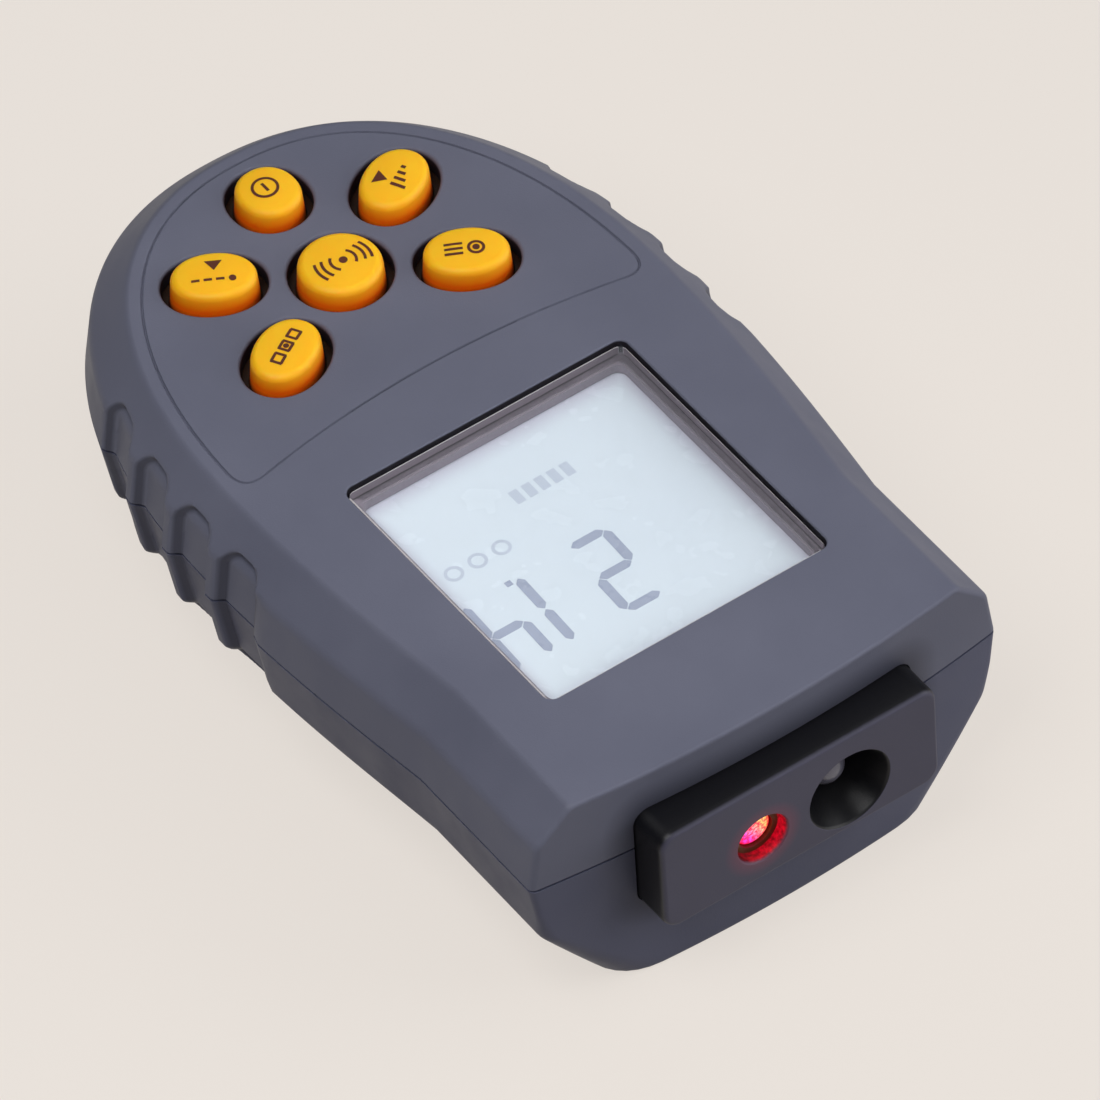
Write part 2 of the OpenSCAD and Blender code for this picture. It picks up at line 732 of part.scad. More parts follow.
module receiver_diode() {
    leg_x = 1.27;
    color([0.35, 0.35, 0.4])
    translate([-receiver_x, 0, aperture_z])
        rotate([-90, 0, 0])
            union() {
                translate([0, 0, receiver_back_y - diode_flange_t])
                    cylinder(r = dome_r + diode_flange - gap / 3, h = diode_flange_t, $fn = arc_fn);
                translate([0, 0, receiver_back_y - diode_flange_t])
                    cylinder(r = dome_r, h = face_y - dome_sink - dome_r - receiver_back_y + diode_flange_t,
                             $fn = arc_fn);
                translate([0, 0, face_y - dome_sink - dome_r])
                    sphere(r = dome_r, $fn = arc_fn);
                for (side = [-1, 1])
                    translate([side * leg_x, 0, sensor_board_y])
                        cylinder(r = leg_r, h = receiver_back_y - diode_flange_t - sensor_board_y + over / 2,
                                 $fn = 16);
            }
}
module sensor_board() {
    board_low = 5;
    color([0.1, 0.4, 0.25])
    translate([-sensor_board_w / 2, sensor_board_y - sensor_board_t, aperture_z - board_low])
        cube([sensor_board_w, sensor_board_t, board_z - board_t - clear - aperture_z + board_low]);
}

module window_lens() {
    color([0.85, 0.9, 0.95, 0.4])
    translate([0, window_y, lens_z])
        linear_extrude(height = lens_t)
            polygon(round_rect(window_w - 2 * lens_gap, window_l - 2 * lens_gap, window_r - lens_gap));
}
module window_tape() {
    tape_w = ledge_w - 2 * lens_gap;
    color([0.1, 0.1, 0.1])
    translate([0, window_y, tape_z])
        linear_extrude(height = tape_t)
            difference() {
                polygon(round_rect(window_w - 2 * lens_gap, window_l - 2 * lens_gap, window_r - lens_gap));
                polygon(round_rect(window_w - 2 * lens_gap - 2 * tape_w, window_l - 2 * lens_gap - 2 * tape_w,
                                   window_r - lens_gap));
            }
}
module plate(w, l, z, t) {
    translate([-w / 2, window_y - l / 2, z])
        cube([w, l, t]);
}
module lcd_front_glass() {
    color([0.75, 0.82, 0.9])
    plate(lcd_w, lcd_l, lcd_top_z - glass_t, glass_t);
}
module lcd_rear_glass() {
    color([0.8, 0.85, 0.9])
    plate(lcd_w, lcd_l - 2 * glass_step, lcd_top_z - 2 * glass_t, glass_t);
}
module lcd_reflector() {
    color([0.85, 0.87, 0.9])
    plate(lcd_w, lcd_l - 2 * glass_step, lcd_top_z - 2 * glass_t - reflector_t, reflector_t);
}
module lcd_frame() {
    color([0.9, 0.9, 0.88])
    difference() {
        plate(lcd_w + 2 * gap + 2 * lcd_rim, lcd_l + 2 * gap + 2 * lcd_rim, board_z, lcd_top_z - board_z);
        plate(lcd_w + 2 * gap, lcd_l + 2 * gap, board_z - over, front_h + 2 * over);
    }
}
module zebra_strips() {
    strip_w = glass_step - 2 * clear;
    color([0.2, 0.2, 0.2])
    for (side = [-1, 1])
        translate([-lcd_w / 2 + over, window_y + side * (lcd_l / 2 - glass_step / 2) - strip_w / 2, board_z])
            cube([lcd_w - 2 * over, strip_w, lcd_top_z - glass_t - board_z]);
}

// Main board: it follows the case's wall and ends behind the sensor board
board_in = wall + side_lean + clear;
board_front_y = sensor_board_y + over;
module main_board() {
    color([0.1, 0.42, 0.26])
    difference() {
        translate([0, 0, board_z - board_t])
            linear_extrude(height = board_t)
                intersection() {
                    polygon(outline(board_in, board_in));
                    translate([-grip_w / 2, far_y])
                        square([grip_w, board_front_y - far_y]);
                }
        for (p = case_screw_places)
            translate([p.x, p.y, part_z])
                cylinder(r = boss_r + clear, h = board_z, $fn = arc_fn);
        for (p = board_screw_places)
            translate([p.x, p.y, part_z])
                cylinder(r = board_screw_r + gap, h = board_z, $fn = arc_fn);
    }
}
under_z = board_z - board_t;
chip_w = 14;
chip_t = 1.6;
chip_y = window_y + window_l / 4;
module microcontroller() {
    pin_l = 1.1;
    pin_w = 0.4;
    pin_t = 0.3;
    pin_pitch = 1;
    pin_count = 11;
    color([0.12, 0.12, 0.13])
    union() {
        translate([-chip_w / 2, chip_y - chip_w / 2, under_z - chip_t])
            cube([chip_w, chip_w, chip_t - gap]);
        for (turn = [0 : 90 : 270])
            translate([0, chip_y, 0])
                rotate([0, 0, turn])
                    for (i = [0 : pin_count - 1])
                        translate([chip_w / 2 - pin_l / 2, (i - (pin_count - 1) / 2) * pin_pitch - pin_w / 2, under_z - pin_t])
                            cube([pin_l + pin_l / 2, pin_w, pin_t]);
    }
}
module crystal() {
    can_l = 11;
    can_w = 4.6;
    can_t = 3.5;
    color([0.75, 0.75, 0.78])
    translate([-chip_w / 2 - can_w - 3 * over, chip_y + can_w / 2, under_z - can_t])
        hull() {
            for (end = [can_w / 2, can_l - can_w / 2])
                translate([can_w / 2, end - can_l / 2, 0])
                    cylinder(d = can_w, h = can_t, $fn = 32);
        }
}
module capacitors() {
    can_r = 2.5;
    can_l = 7;
    color([0.15, 0.17, 0.3])
    for (side = [0, 1])
        translate([chip_w / 2 + 2 * can_r + over, chip_y - can_r - over + side * 2 * (can_r + over), under_z - can_l])
            cylinder(r = can_r, h = can_l, $fn = arc_fn);
}
module regulator() {
    case_r = 2.3;
    case_l = 4.6;
    leg_l = 2;
    color([0.13, 0.13, 0.13])
    translate([-chip_w / 2 - 2 * case_r - 2 * over, chip_y - chip_w / 2, under_z - leg_l - case_l])
        union() {
            difference() {
                cylinder(r = case_r, h = case_l, $fn = arc_fn);
                translate([-case_r, case_r / 2, -over])
                    cube([2 * case_r, case_r, case_l + 2 * over]);
            }
            for (i = [-1 : 1])
                translate([i * case_r / 2 - leg_r, -leg_r, case_l - over])
                    cube([2 * leg_r, 2 * leg_r, leg_l + over]);
        }
}
module resistors() {
    part_l = 2;
    part_w = 1.25;
    part_t = 0.5;
    pitch = 2.6;
    count = 6;
    color([0.2, 0.2, 0.2])
    for (i = [0 : count - 1])
        translate([(i - (count - 1) / 2) * pitch - part_w / 2, chip_y - chip_w / 2 - 2 * pitch, under_z - part_t])
            cube([part_w, part_l, part_t]);
}
module board_header() {
    bar_w = 12;
    bar_t = 2.5;
    color([0.1, 0.1, 0.1])
    translate([-bar_w / 2, sensor_board_y - sensor_board_t - bar_t, under_z - bar_t])
        cube([bar_w, bar_t, bar_t]);
}
module key_pads() {
    pad_h = 0.05;
    color([0.15, 0.15, 0.15])
    for (k = key_places)
        translate([k[3], k[4], board_z])
            cylinder(r = pill_r + gap, h = pad_h, $fn = 32);
}

// Keypad: a silicone mat on the board, and six keys that stand through the deck
mat_in = deck_in + wall + clear;
module keypad_mat() {
    color([0.85, 0.5, 0.1])
    translate([0, 0, board_z])
        linear_extrude(height = mat_t)
            difference() {
                intersection() {
                    polygon(outline(mat_in, mat_in));
                    translate([-grip_w / 2, far_y])
                        square([grip_w, key_y + key_ring / 2 + oval_a + key_flange + 2 * clear - far_y]);
                }
                for (k = key_places)
                    translate([k[3], k[4]])
                        polygon(key_outline(k, clear - key_gap));
                for (p = case_screw_places)
                    translate(p)
                        circle(r = boss_r + clear, $fn = 32);
            }
}
module key(k) {
    top_z = deck_z + key_rise;
    stem_in = 0.7;
    taper = 0.3;
    // [height, growth beyond the key's side] from the stem's foot to the round top
    top_curve = rounded([
        [deck_z, 0], [top_z, -taper], [top_z, -taper - 2 * key_edge]
    ], key_edge, 4);
    section = concat(
        [[pill_z + pill_t, -stem_in], [flange_z, -stem_in], [flange_z, key_flange],
         [flange_z + flange_t, key_flange], [flange_z + flange_t, 0]],
        top_curve
    );
    color([0.96, 0.65, 0.1])
    loft([for (v = section) level(key_outline(k, v[1] - key_gap), [k[3], k[4]], v[0])]);
}
module pill(k) {
    color([0.12, 0.12, 0.12])
    translate([k[3], k[4], pill_z])
        cylinder(r = pill_r, h = pill_t, $fn = arc_fn);
}
module measure_key() { key(middle_key); }
module power_key() { key(power_place); }
module mode_key() { key(mode_place); }
module beam_key() { key(beam_place); }
module store_key() { key(store_place); }
module peak_key() { key(peak_place); }
module measure_pill() { pill(middle_key); }
module power_pill() { pill(power_place); }
module mode_pill() { pill(mode_place); }
module beam_pill() { pill(beam_place); }
module store_pill() { pill(store_place); }
module peak_pill() { pill(peak_place); }

// Battery, its snap and its leads
terminal_x = 6.35;
terminal_r = 3.1;
battery_r = 1.5;
snap_w = 25;
snap_h = 12.5;
lead_r = 0.6;
lead_x = 2.5;
terminal_z = battery_z + battery_t / 2;
lead_z = terminal_z;
module battery() {
    color([0.12, 0.12, 0.14])
    translate([0, battery_far_y, terminal_z])
        rotate([-90, 0, 0])
            linear_extrude(height = battery_l)
                polygon(round_rect(battery_w, battery_t, battery_r));
}
module battery_terminals() {
    color([0.8, 0.8, 0.8])
    for (side = [-1, 1])
        translate([side * terminal_x, battery_near_y, terminal_z])
            rotate([-90, 0, 0])
                cylinder(r = terminal_r, h = terminal_l, $fn = arc_fn);
}
module battery_snap() {
    color([0.1, 0.1, 0.1])
    difference() {
        translate([0, battery_near_y + clear, terminal_z])
            rotate([-90, 0, 0])
                linear_extrude(height = snap_t - clear)
                    polygon(round_rect(snap_w, snap_h, battery_r));
        for (side = [-1, 1])
            translate([side * terminal_x, battery_near_y, terminal_z])
                rotate([-90, 0, 0])
                    cylinder(r = terminal_r + gap / 3, h = terminal_l + gap, $fn = arc_fn);
    }
}
// Route of a lead from the snap over the bay's wall to the board
lead_rise = 4;
module lead(side) {
    start_y = battery_near_y + snap_t;
    route = rounded([
        [side * lead_x, start_y, lead_z],
        [side * lead_x, start_y + lead_rise, lead_z],
        [side * lead_x, start_y + lead_rise, under_z]
    ], lead_rise / 2, 6);
    tube(route, lead_r);
}
module lead_red() { color([0.8, 0.1, 0.1]) lead(1); }
module lead_black() { color([0.1, 0.1, 0.1]) lead(-1); }
module battery_pad() {
    pad_w = 20;
    pad_h = 10;
    color([0.3, 0.3, 0.3])
    translate([-pad_w / 2, bay_far_y, terminal_z - pad_h / 2])
        cube([pad_w, pad_t, pad_h]);
}

module screw(r, shank_l, r_head, t_head) {
    slot_w = 0.7;
    union() {
        cylinder(r = r, h = shank_l, $fn = arc_fn);
        difference() {
            translate([0, 0, -t_head])
                cylinder(r = r_head, h = t_head, $fn = arc_fn);
            for (turn = [0, 90])
                rotate([0, 0, turn])
                    translate([-r_head * 2 / 3, -slot_w / 2, -t_head - over])
                        cube([r_head * 4 / 3, slot_w, over + t_head / 2]);
        }
    }
}
module case_screws() {
    color([0.7, 0.7, 0.7])
    for (p = case_screw_places)
        translate([p.x, p.y, screw_seat_z])
            screw(screw_r, screw_top_z - screw_seat_z - gap, head_r, head_t);
}
module board_screws() {
    color([0.75, 0.75, 0.7])
    for (p = board_screw_places)
        translate([p.x, p.y, under_z])
            screw(board_screw_r, deck_under_z - over - under_z - gap, board_head_r, board_head_t);
}

top_case();
bottom_case();
battery_door();
sensor_block();
laser_barrel();
laser_lens();
laser_diode();
receiver_diode();
sensor_board();
window_lens();
window_tape();
lcd_front_glass();
lcd_rear_glass();
lcd_reflector();
lcd_frame();
zebra_strips();
main_board();
microcontroller();
crystal();
capacitors();
regulator();
resistors();
board_header();
key_pads();
keypad_mat();
measure_key();
power_key();
mode_key();
beam_key();
store_key();
peak_key();
measure_pill();
power_pill();
mode_pill();
beam_pill();
store_pill();
peak_pill();
battery();
battery_terminals();
battery_snap();
lead_red();
lead_black();
battery_pad();
case_screws();
board_screws();
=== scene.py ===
"""Looks of the hand-held laser tachometer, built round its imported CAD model."""

import math

import bmesh
import bpy
from mathutils import Matrix, Vector


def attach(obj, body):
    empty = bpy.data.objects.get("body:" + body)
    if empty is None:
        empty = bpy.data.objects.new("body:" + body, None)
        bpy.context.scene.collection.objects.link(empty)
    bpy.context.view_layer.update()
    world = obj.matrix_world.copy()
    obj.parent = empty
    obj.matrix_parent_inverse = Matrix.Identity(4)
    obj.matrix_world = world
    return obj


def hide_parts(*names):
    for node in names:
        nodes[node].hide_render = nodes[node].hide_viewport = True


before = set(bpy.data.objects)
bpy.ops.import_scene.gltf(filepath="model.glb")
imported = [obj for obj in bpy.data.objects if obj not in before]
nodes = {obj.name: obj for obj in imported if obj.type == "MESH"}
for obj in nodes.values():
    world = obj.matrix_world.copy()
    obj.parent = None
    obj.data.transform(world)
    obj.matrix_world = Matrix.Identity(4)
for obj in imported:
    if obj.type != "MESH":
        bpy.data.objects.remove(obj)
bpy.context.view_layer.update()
MM = 0.001

# Sizes repeated from the CAD source, in millimetres
BODY_L, GRIP_W, NOSE_W = 114.6, 69.0, 62.6
FRONT_H, REAR_H, WALL = 10.9, 21.0, 2.2
ROUND_L, SQUARE, STRAIGHT_L, NOSE_BULGE, NOSE_R = 48.5, 2.25, 20.8, 2.4, 0.8
EDGE_R, SIDE_H, SIDE_LEAN, DECK_IN = 0.8, 6.3, 0.9, 5.3
HIP_H, HIP_LEAN, BACK_IN, BACK_FLARE, FRONT_DRAFT = 9.2, 1.3, 9.1, 1.1, 0.1
SEAM_H, SEAM_D, LIP_H, LIP_T, GAP = 0.35, 0.5, 1.2, 1.0, 0.15
SCOOP_COUNT, SCOOP_PITCH, SCOOP_W, SCOOP_D, SCOOP_R = 4, 8.8, 6.5, 1.3, 2.5
SCOOP_TOP, SCOOP_LOW, SCOOP_SET = 7.7, 12.5, 28.7
FAR_Y, FACE_Y = -BODY_L / 2, BODY_L / 2
NOSE_Y = FACE_Y - 4.2 - NOSE_BULGE
GRIP_Y, STRAIGHT_Y = FAR_Y + ROUND_L, NOSE_Y - STRAIGHT_L
PART_Z, DECK_Z = REAR_H, REAR_H + FRONT_H
DECK_UNDER_Z = DECK_Z - WALL
WINDOW_W, WINDOW_L, WINDOW_R, LEDGE_W, RIM_W = 37.9, 39.5, 1.3, 1.3, 1.2
WINDOW_Y = NOSE_Y - 13.1 - WINDOW_L / 2
LENS_GAP, LENS_T, LENS_SINK = 0.25, 1.4, 0.6
LENS_Z = DECK_Z - LENS_SINK - LENS_T
LENS_TOP = LENS_Z + LENS_T
TAPE_Z = LENS_Z - 0.2
LEDGE_Z = TAPE_Z - 1.2
LCD_TOP_Z = LEDGE_Z - GAP
BOARD_Z = PART_Z + 4.6
KEY_Y, KEY_RING, KEY_GAP, KEY_TOP = FAR_Y + 27.9, 14.2, 1.05, DECK_Z + 1.9
KEY_HALF_W, KEY_SQUARE, KEY_TAPER = 4.85, 2.1, 0.13
FLANGE_Z, FLANGE_T, FLANGE_W = DECK_UNDER_Z - 1.5, 1.2, 1.7
KEY_FOOT_Z = BOARD_Z + 1.2 + GAP / 2 + 0.6
APERTURE_Z, LASER_X, RECEIVER_X, LASER_R, CONE_R = PART_Z - 3.5, 5.2, 6.5, 3.3, 5.2
BLOCK_W, BLOCK_H, BLOCK_R, BLOCK_EDGE = 37.0, 14.9, 2.0, 0.9
BLOCK_Z = PART_Z + 5.2 - BLOCK_H / 2
COLLAR_OUT, COLLAR_T = 1.4, 1.6
BATTERY_W, BATTERY_L, BATTERY_H, BATTERY_Z, DOOR_TRAVEL = 26.5, 48.5, 17.5, 2.5, 40
BOSS_R, STANDOFF_R = 2.9, 2.1
SCREWS = [(s * x, y) for s in (-1, 1) for x, y in ((16.0, NOSE_Y - 7.2), (20.9, NOSE_Y - 61.5))]
BOARD_SCREW_X = WINDOW_W / 2 + RIM_W + STANDOFF_R + 0.3
BOARD_SCREW_Y = WINDOW_L / 2 - STANDOFF_R
BOARD_SCREWS = [(s * BOARD_SCREW_X, WINDOW_Y + t * BOARD_SCREW_Y)
                for s in (-1, 1) for t in (-1, 1)]
# Keys: half length, half width, turn in degrees, place, squareness
KEYS = {"measure": (6.05, 6.05, 0, 0.0, KEY_Y, 2.0)}
for name, half, angle in (("power", 5.2, 270), ("mode", 6.1, 30), ("store", 6.1, 150),
                          ("peak", 6.1, 210), ("beam", 6.1, 330)):
    turn = math.radians(angle)
    KEYS[name] = (half, KEY_HALF_W, angle, KEY_RING * math.cos(turn),
                  KEY_Y + KEY_RING * math.sin(turn), KEY_SQUARE)

# Sizes of the looks alone, in millimetres
PRINT_LIFT = 0.03
SIGN_Z = LCD_TOP_Z + 0.02
NOSE_GROWTH = 5.5
SCOOP_SOFT = 0.55
ROW = 0.42
# Degrees past which an edge stays sharp
SHARP = 32


# ---------------------------------------------------------------- meshes
def new_object(name, verts, faces):
    """An object from points in millimetres, with its faces turned outward."""
    mesh = bpy.data.meshes.new(name)
    mesh.from_pydata([(x * MM, y * MM, z * MM) for x, y, z in verts], [], faces)
    work = bmesh.new()
    work.from_mesh(mesh)
    bmesh.ops.recalc_face_normals(work, faces=work.faces)
    work.to_mesh(mesh)
    work.free()
    obj = bpy.data.objects.new(name, mesh)
    bpy.context.scene.collection.objects.link(obj)
    return obj


def loft(name, rings, closed=False):
    """A closed solid through rings of equal length; closed joins the last ring to the first."""
    n = len(rings[0])
    m = len(rings)
    faces = []
    for j in range(m if closed else m - 1):
        for i in range(n):
            a, b = j * n, (j + 1) % m * n
            faces.append((a + i, a + (i + 1) % n, b + (i + 1) % n, b + i))
    if not closed:
        faces.append(tuple(range(n)))
        faces.append(tuple(range((m - 1) * n, m * n)))
    return new_object(name, [p for ring in rings for p in ring], faces)


def join(solid):
    return "UNION", solid


def cut(solid):
    return "DIFFERENCE", solid


def carve(base, steps):
    """Applies solids to a base in turn; each step is (operation, solid)."""
    for operation, solid in steps:
        modifier = base.modifiers.new("carve", "BOOLEAN")
        modifier.solver = "MANIFOLD"
        modifier.operation = operation
        modifier.object = solid
    graph = bpy.context.evaluated_depsgraph_get()
    mesh = bpy.data.meshes.new_from_object(base.evaluated_get(graph))
    base.modifiers.clear()
    base.data = mesh
    for _, solid in steps:
        bpy.data.objects.remove(solid)
    return base


def weigh_normals(obj):
    normals = obj.modifiers.new("normals", "WEIGHTED_NORMAL")
    normals.keep_sharp = True
    normals.weight = 60


def polish(obj, angle):
    """Smooth shading but for edges sharper than the angle."""
    work = bmesh.new()
    work.from_mesh(obj.data)
    bmesh.ops.remove_doubles(work, verts=work.verts, dist=2e-7)
    limit = math.radians(angle)
    for face in work.faces:
        face.smooth = True
    for edge in work.edges:
        edge.smooth = edge.is_manifold and edge.calc_face_angle(0.0) < limit
    work.to_mesh(obj.data)
    work.free()
    weigh_normals(obj)


def level(points, z, at=(0.0, 0.0)):
    return [(x + at[0], y + at[1], z) for x, y in points]


def upright(points, y, at):
    return [(x + at[0], y, z + at[1]) for x, z in points]


def round_rect(w, l, r, n=8):
    points = []
    for q in range(4):
        sx = 1 if q in (0, 3) else -1
        sy = 1 if q < 2 else -1
        for k in range(n + 1):
            a = math.radians(90 * (q + k / n))
            points.append((sx * (w / 2 - r) + r * math.cos(a), sy * (l / 2 - r) + r * math.sin(a)))
    return points


def circle(r, n=64):
    return [(r * math.cos(math.tau * k / n), r * math.sin(math.tau * k / n)) for k in range(n)]


def oval(a, b, turn, share):
    """A superellipse with half sizes a and b, turned; share is its power."""
    n = 96
    c0, s0 = math.cos(math.radians(turn)), math.sin(math.radians(turn))
    points = []
    for k in range(n):
        c, s = math.cos(math.tau * k / n), math.sin(math.tau * k / n)
        x = a * math.copysign(abs(c) ** (2 / share), c)
        y = b * math.copysign(abs(s) ** (2 / share), s)
        points.append((x * c0 - y * s0, x * s0 + y * c0))
    return points


def prism(name, points, low, high, at=(0.0, 0.0)):
    """An outline raised between two heights."""
    return loft(name, [level(points, z, at) for z in (low, high)])


def plug(name, points, back, front, at):
    """An upright outline drawn along Y."""
    return loft(name, [upright(points, y, at) for y in (back, front)])


def bar(name, low, high):
    """A box between two corners."""
    w, l = high[0] - low[0], high[1] - low[1]
    corners = [(w / 2, l / 2), (-w / 2, l / 2), (-w / 2, -l / 2), (w / 2, -l / 2)]
    return prism(name, corners, low[2], high[2], ((low[0] + high[0]) / 2, (low[1] + high[1]) / 2))


def post(name, r, low, high, at):
    return prism(name, circle(r, 48), low, high, at)


# ---------------------------------------------------------------- the case's outline and section
def front_line(x, front_in):
    return NOSE_Y + NOSE_BULGE * (1 - (2 * x / NOSE_W) ** 2) - front_in


def blend3(a, b, c, t):
    """A point of the curve that starts at a toward b and ends at c."""
    return tuple(p * (1 - t) ** 2 + q * 2 * t * (1 - t) + r * t * t for p, q, r in zip(a, b, c))


SCOOP_NEAR_Y = FAR_Y + SCOOP_SET + (SCOOP_COUNT - 1) * SCOOP_PITCH + SCOOP_W / 2 + 1.2
SCOOP_FAR_Y = FAR_Y + SCOOP_SET - SCOOP_W / 2 - 1.2


def make_stations(step, coarse, turns):
    """Stations (part, share) of half the outline, from the front's middle to the far tip."""
    half = [("front", k / 10) for k in range(10)] + [("corner", k / 8) for k in range(8)]
    half += [("straight", k / 8) for k in range(8)]
    y = STRAIGHT_Y
    while y > GRIP_Y:
        half.append(("side", (STRAIGHT_Y - y) / (STRAIGHT_Y - GRIP_Y)))
        y -= step if y < SCOOP_NEAR_Y else coarse
    y = GRIP_Y
    while y > SCOOP_FAR_Y:
        share = (GRIP_Y - y) / ROUND_L
        half.append(("round", math.degrees(math.asin(share ** (SQUARE / 2)))))
        y -= step
    last = half[-1][1]
    return half + [("round", last + (90 - last) * k / turns) for k in range(1, turns + 1)]


FINE = make_stations(0.38, 1.6, 48)
COARSE = make_stations(2.4, 2.8, 16)


def place(station, side_in, front_in, grip_in, corner=NOSE_R):
    """A station's point, with the outline moved in at the sides, the front and the grips."""
    part, t = station
    w = NOSE_W / 2 - side_in
    g = GRIP_W / 2 - side_in - grip_in
    b = ROUND_L - side_in - grip_in
    if part == "front":
        x = (w - corner) * t
        return x, front_line(x, front_in)
    cx, cy = w - corner, front_line(w, front_in)
    if part == "corner":
        return blend3((cx, front_line(cx, front_in)), (w, cy), (w, cy - corner), t)
    if part == "straight":
        return w, cy - corner + (STRAIGHT_Y - cy + corner) * t
    if part == "side":
        return w + (g - w) * math.sin(math.pi / 2 * t), STRAIGHT_Y + (GRIP_Y - STRAIGHT_Y) * t
    a = math.radians(t)
    return g * max(math.cos(a), 0.0) ** (2 / SQUARE), GRIP_Y - b * math.sin(a) ** (2 / SQUARE)


def scoop_share(y, z):
    """How far a point of the wall is sunk into a finger scoop: 0 outside, 1 on its floor."""
    near = SCOOP_PITCH
    for i in range(SCOOP_COUNT):
        dy = abs(y - (FAR_Y + SCOOP_SET + i * SCOOP_PITCH)) - (SCOOP_W / 2 - SCOOP_R)
        dz = abs(z - (SCOOP_TOP - SCOOP_LOW) / 2) - ((SCOOP_TOP + SCOOP_LOW) / 2 - SCOOP_R)
        near = min(near, math.hypot(max(dy, 0), max(dz, 0)) + min(max(dy, dz), 0) - SCOOP_R)
    t = min(max((SCOOP_SOFT - near) / (2 * SCOOP_SOFT), 0.0), 1.0)
    return t * t * (3 - 2 * t)


def nose_corner(z):
    """Radius of the nose corners at a height over the parting line: they open toward the back."""
    return NOSE_R + NOSE_GROWTH * max(0.0, (-z - HIP_H / 2) / (REAR_H - HIP_H / 2)) ** 1.3


def outline(side_in, front_in, grip_in=0.0, stations=None, scoop_z=None):
    """The whole outline; scoop_z is the height at which the scoops and corners shape it."""
    half = []
    corner = NOSE_R if scoop_z is None else nose_corner(scoop_z)
    for station in stations or FINE:
        x, y = place(station, side_in, front_in, grip_in, corner)
        if scoop_z is not None and station[0] in ("side", "round"):
            sunk = SCOOP_D * scoop_share(y, scoop_z)
            if sunk > 0:
                x, y = place(station, side_in + sunk, front_in, grip_in)
        half.append((x, y))
    return [(-x, y) for x, y in half] + half[-2:0:-1]


def case_ring(v, stations=None, scoops=False):
    """A ring at [height above the parting line, side, front and grip insets]."""
    return level(outline(v[1], v[2], v[3], stations, v[0] if scoops else None), PART_Z + v[0])


def case_loft(name, rows, scoops=False):
    return loft(name, [case_ring(v, None if scoops else COARSE, scoops) for v in rows])


def rounded(path, r, n):
    """The path with its corners rounded in n steps."""
    out = [path[0]]
    for i in range(1, len(path) - 1):
        before, corner, after = (Vector(path[i + k]) for k in (-1, 0, 1))
        ends = []
        for other in (before, after):
            way = other - corner
            ends.append(corner + way.normalized() * min(r, way.length / 2))
        out += [blend3(ends[0], corner, ends[1], k / n) for k in range(n + 1)]
    return out + [path[-1]]


def refine(path):
    """Adds rows to a section: close ones where the scoops are, a few elsewhere."""
    low, high, longest = -13.6, 8.6, 5
    out = [path[0]]
    for a, b in zip(path, path[1:]):
        length = math.dist(a[:2], b[:2])
        close = low < (a[0] + b[0]) / 2 < high or length > longest
        parts = max(1, math.ceil(length / (ROW if close else 4 * ROW)))
        out += [tuple(p + (q - p) * k / parts for p, q in zip(a, b)) for k in range(1, parts + 1)]
    return out


FRONT_SECTION = [(0, 0, 0, 0), (SIDE_H, SIDE_LEAN, 0, 0), (FRONT_H, DECK_IN, 0, 0),
                 (FRONT_H, DECK_IN + EDGE_R, EDGE_R, 0)]
REAR_SECTION = [(-REAR_H, BACK_IN + EDGE_R, FRONT_DRAFT + EDGE_R, BACK_FLARE),
                (-REAR_H, BACK_IN, FRONT_DRAFT, BACK_FLARE),
                (-HIP_H, HIP_LEAN, FRONT_DRAFT / 2, 0), (-SEAM_H, 0, 0, 0)]
# How far the wall stands in where the section turns
TURN_IN = WALL * 0.45


# ---------------------------------------------------------------- front shell
def flared(name, outer, low, r, at):
    """A cutting tool whose mouth flares at the deck by r: outer(grow) gives its outline."""
    rings = [level(outer(0.0), low, at)]
    for k in range(7):
        a = math.pi / 2 * k / 6
        rings.append(level(outer(r * (1 - math.cos(a))), DECK_Z - r + r * math.sin(a), at))
    rings.append(level(outer(r * 1.5), DECK_Z + 0.5, at))
    return loft(name, rings)


def window_recess():
    def recess(grow):
        return round_rect(WINDOW_W + 2 * grow, WINDOW_L + 2 * grow, WINDOW_R + grow)

    return flared("recess", recess, TAPE_Z, 0.22, (0, WINDOW_Y))


def key_hole(name):
    a, b, turn, x, y, share = KEYS[name]

    def hole(grow):
        return oval(a + grow, b + grow, turn, share)

    return flared("key_hole", hole, DECK_UNDER_Z - 1, 0.45, (x, y))


def panel_outline():
    """The keypad's outline on the deck, which the groove follows."""
    front_y, corner, sag, steps = KEY_Y + 21.3, 3.4, 3.3, 40
    deck_in = DECK_IN + 1.5
    edge = [p for p in outline(deck_in, deck_in) if p[1] < front_y - corner]
    half = max(p[0] for p in edge)

    def line(x):
        return front_y - sag * (1 - (x / half) ** 2)

    turn = [blend3((corner - half, line(half - corner)), (-half, front_y), edge[0], k / 9)
            for k in range(1, 9)]
    across = ((half - corner) * i / steps for i in range(steps, -steps - 1, -1))
    front = [(x, line(x)) for x in across]
    return front + turn + edge + [(-x, y) for x, y in reversed(turn)]


def sideways(points, way):
    """The outline moved outward by way."""
    moved = []
    n = len(points)
    for i, p in enumerate(points):
        a, b = points[i - 1], points[(i + 1) % n]
        tx, ty = b[0] - a[0], b[1] - a[1]
        length = math.hypot(tx, ty) or 1.0
        moved.append((p[0] + ty / length * way, p[1] - tx / length * way))
    return moved


def groove_tool():
    path = panel_outline()
    half = [(-0.26, 0.12), (-0.16, -0.03), (-0.1, -0.24), (0.0, -0.3)]
    profile = half + [(-w, h) for w, h in half[-2::-1]]
    rings = [level(sideways(path, w - 0.2), DECK_Z + h) for w, h in profile]
    return loft("groove", rings, closed=True)


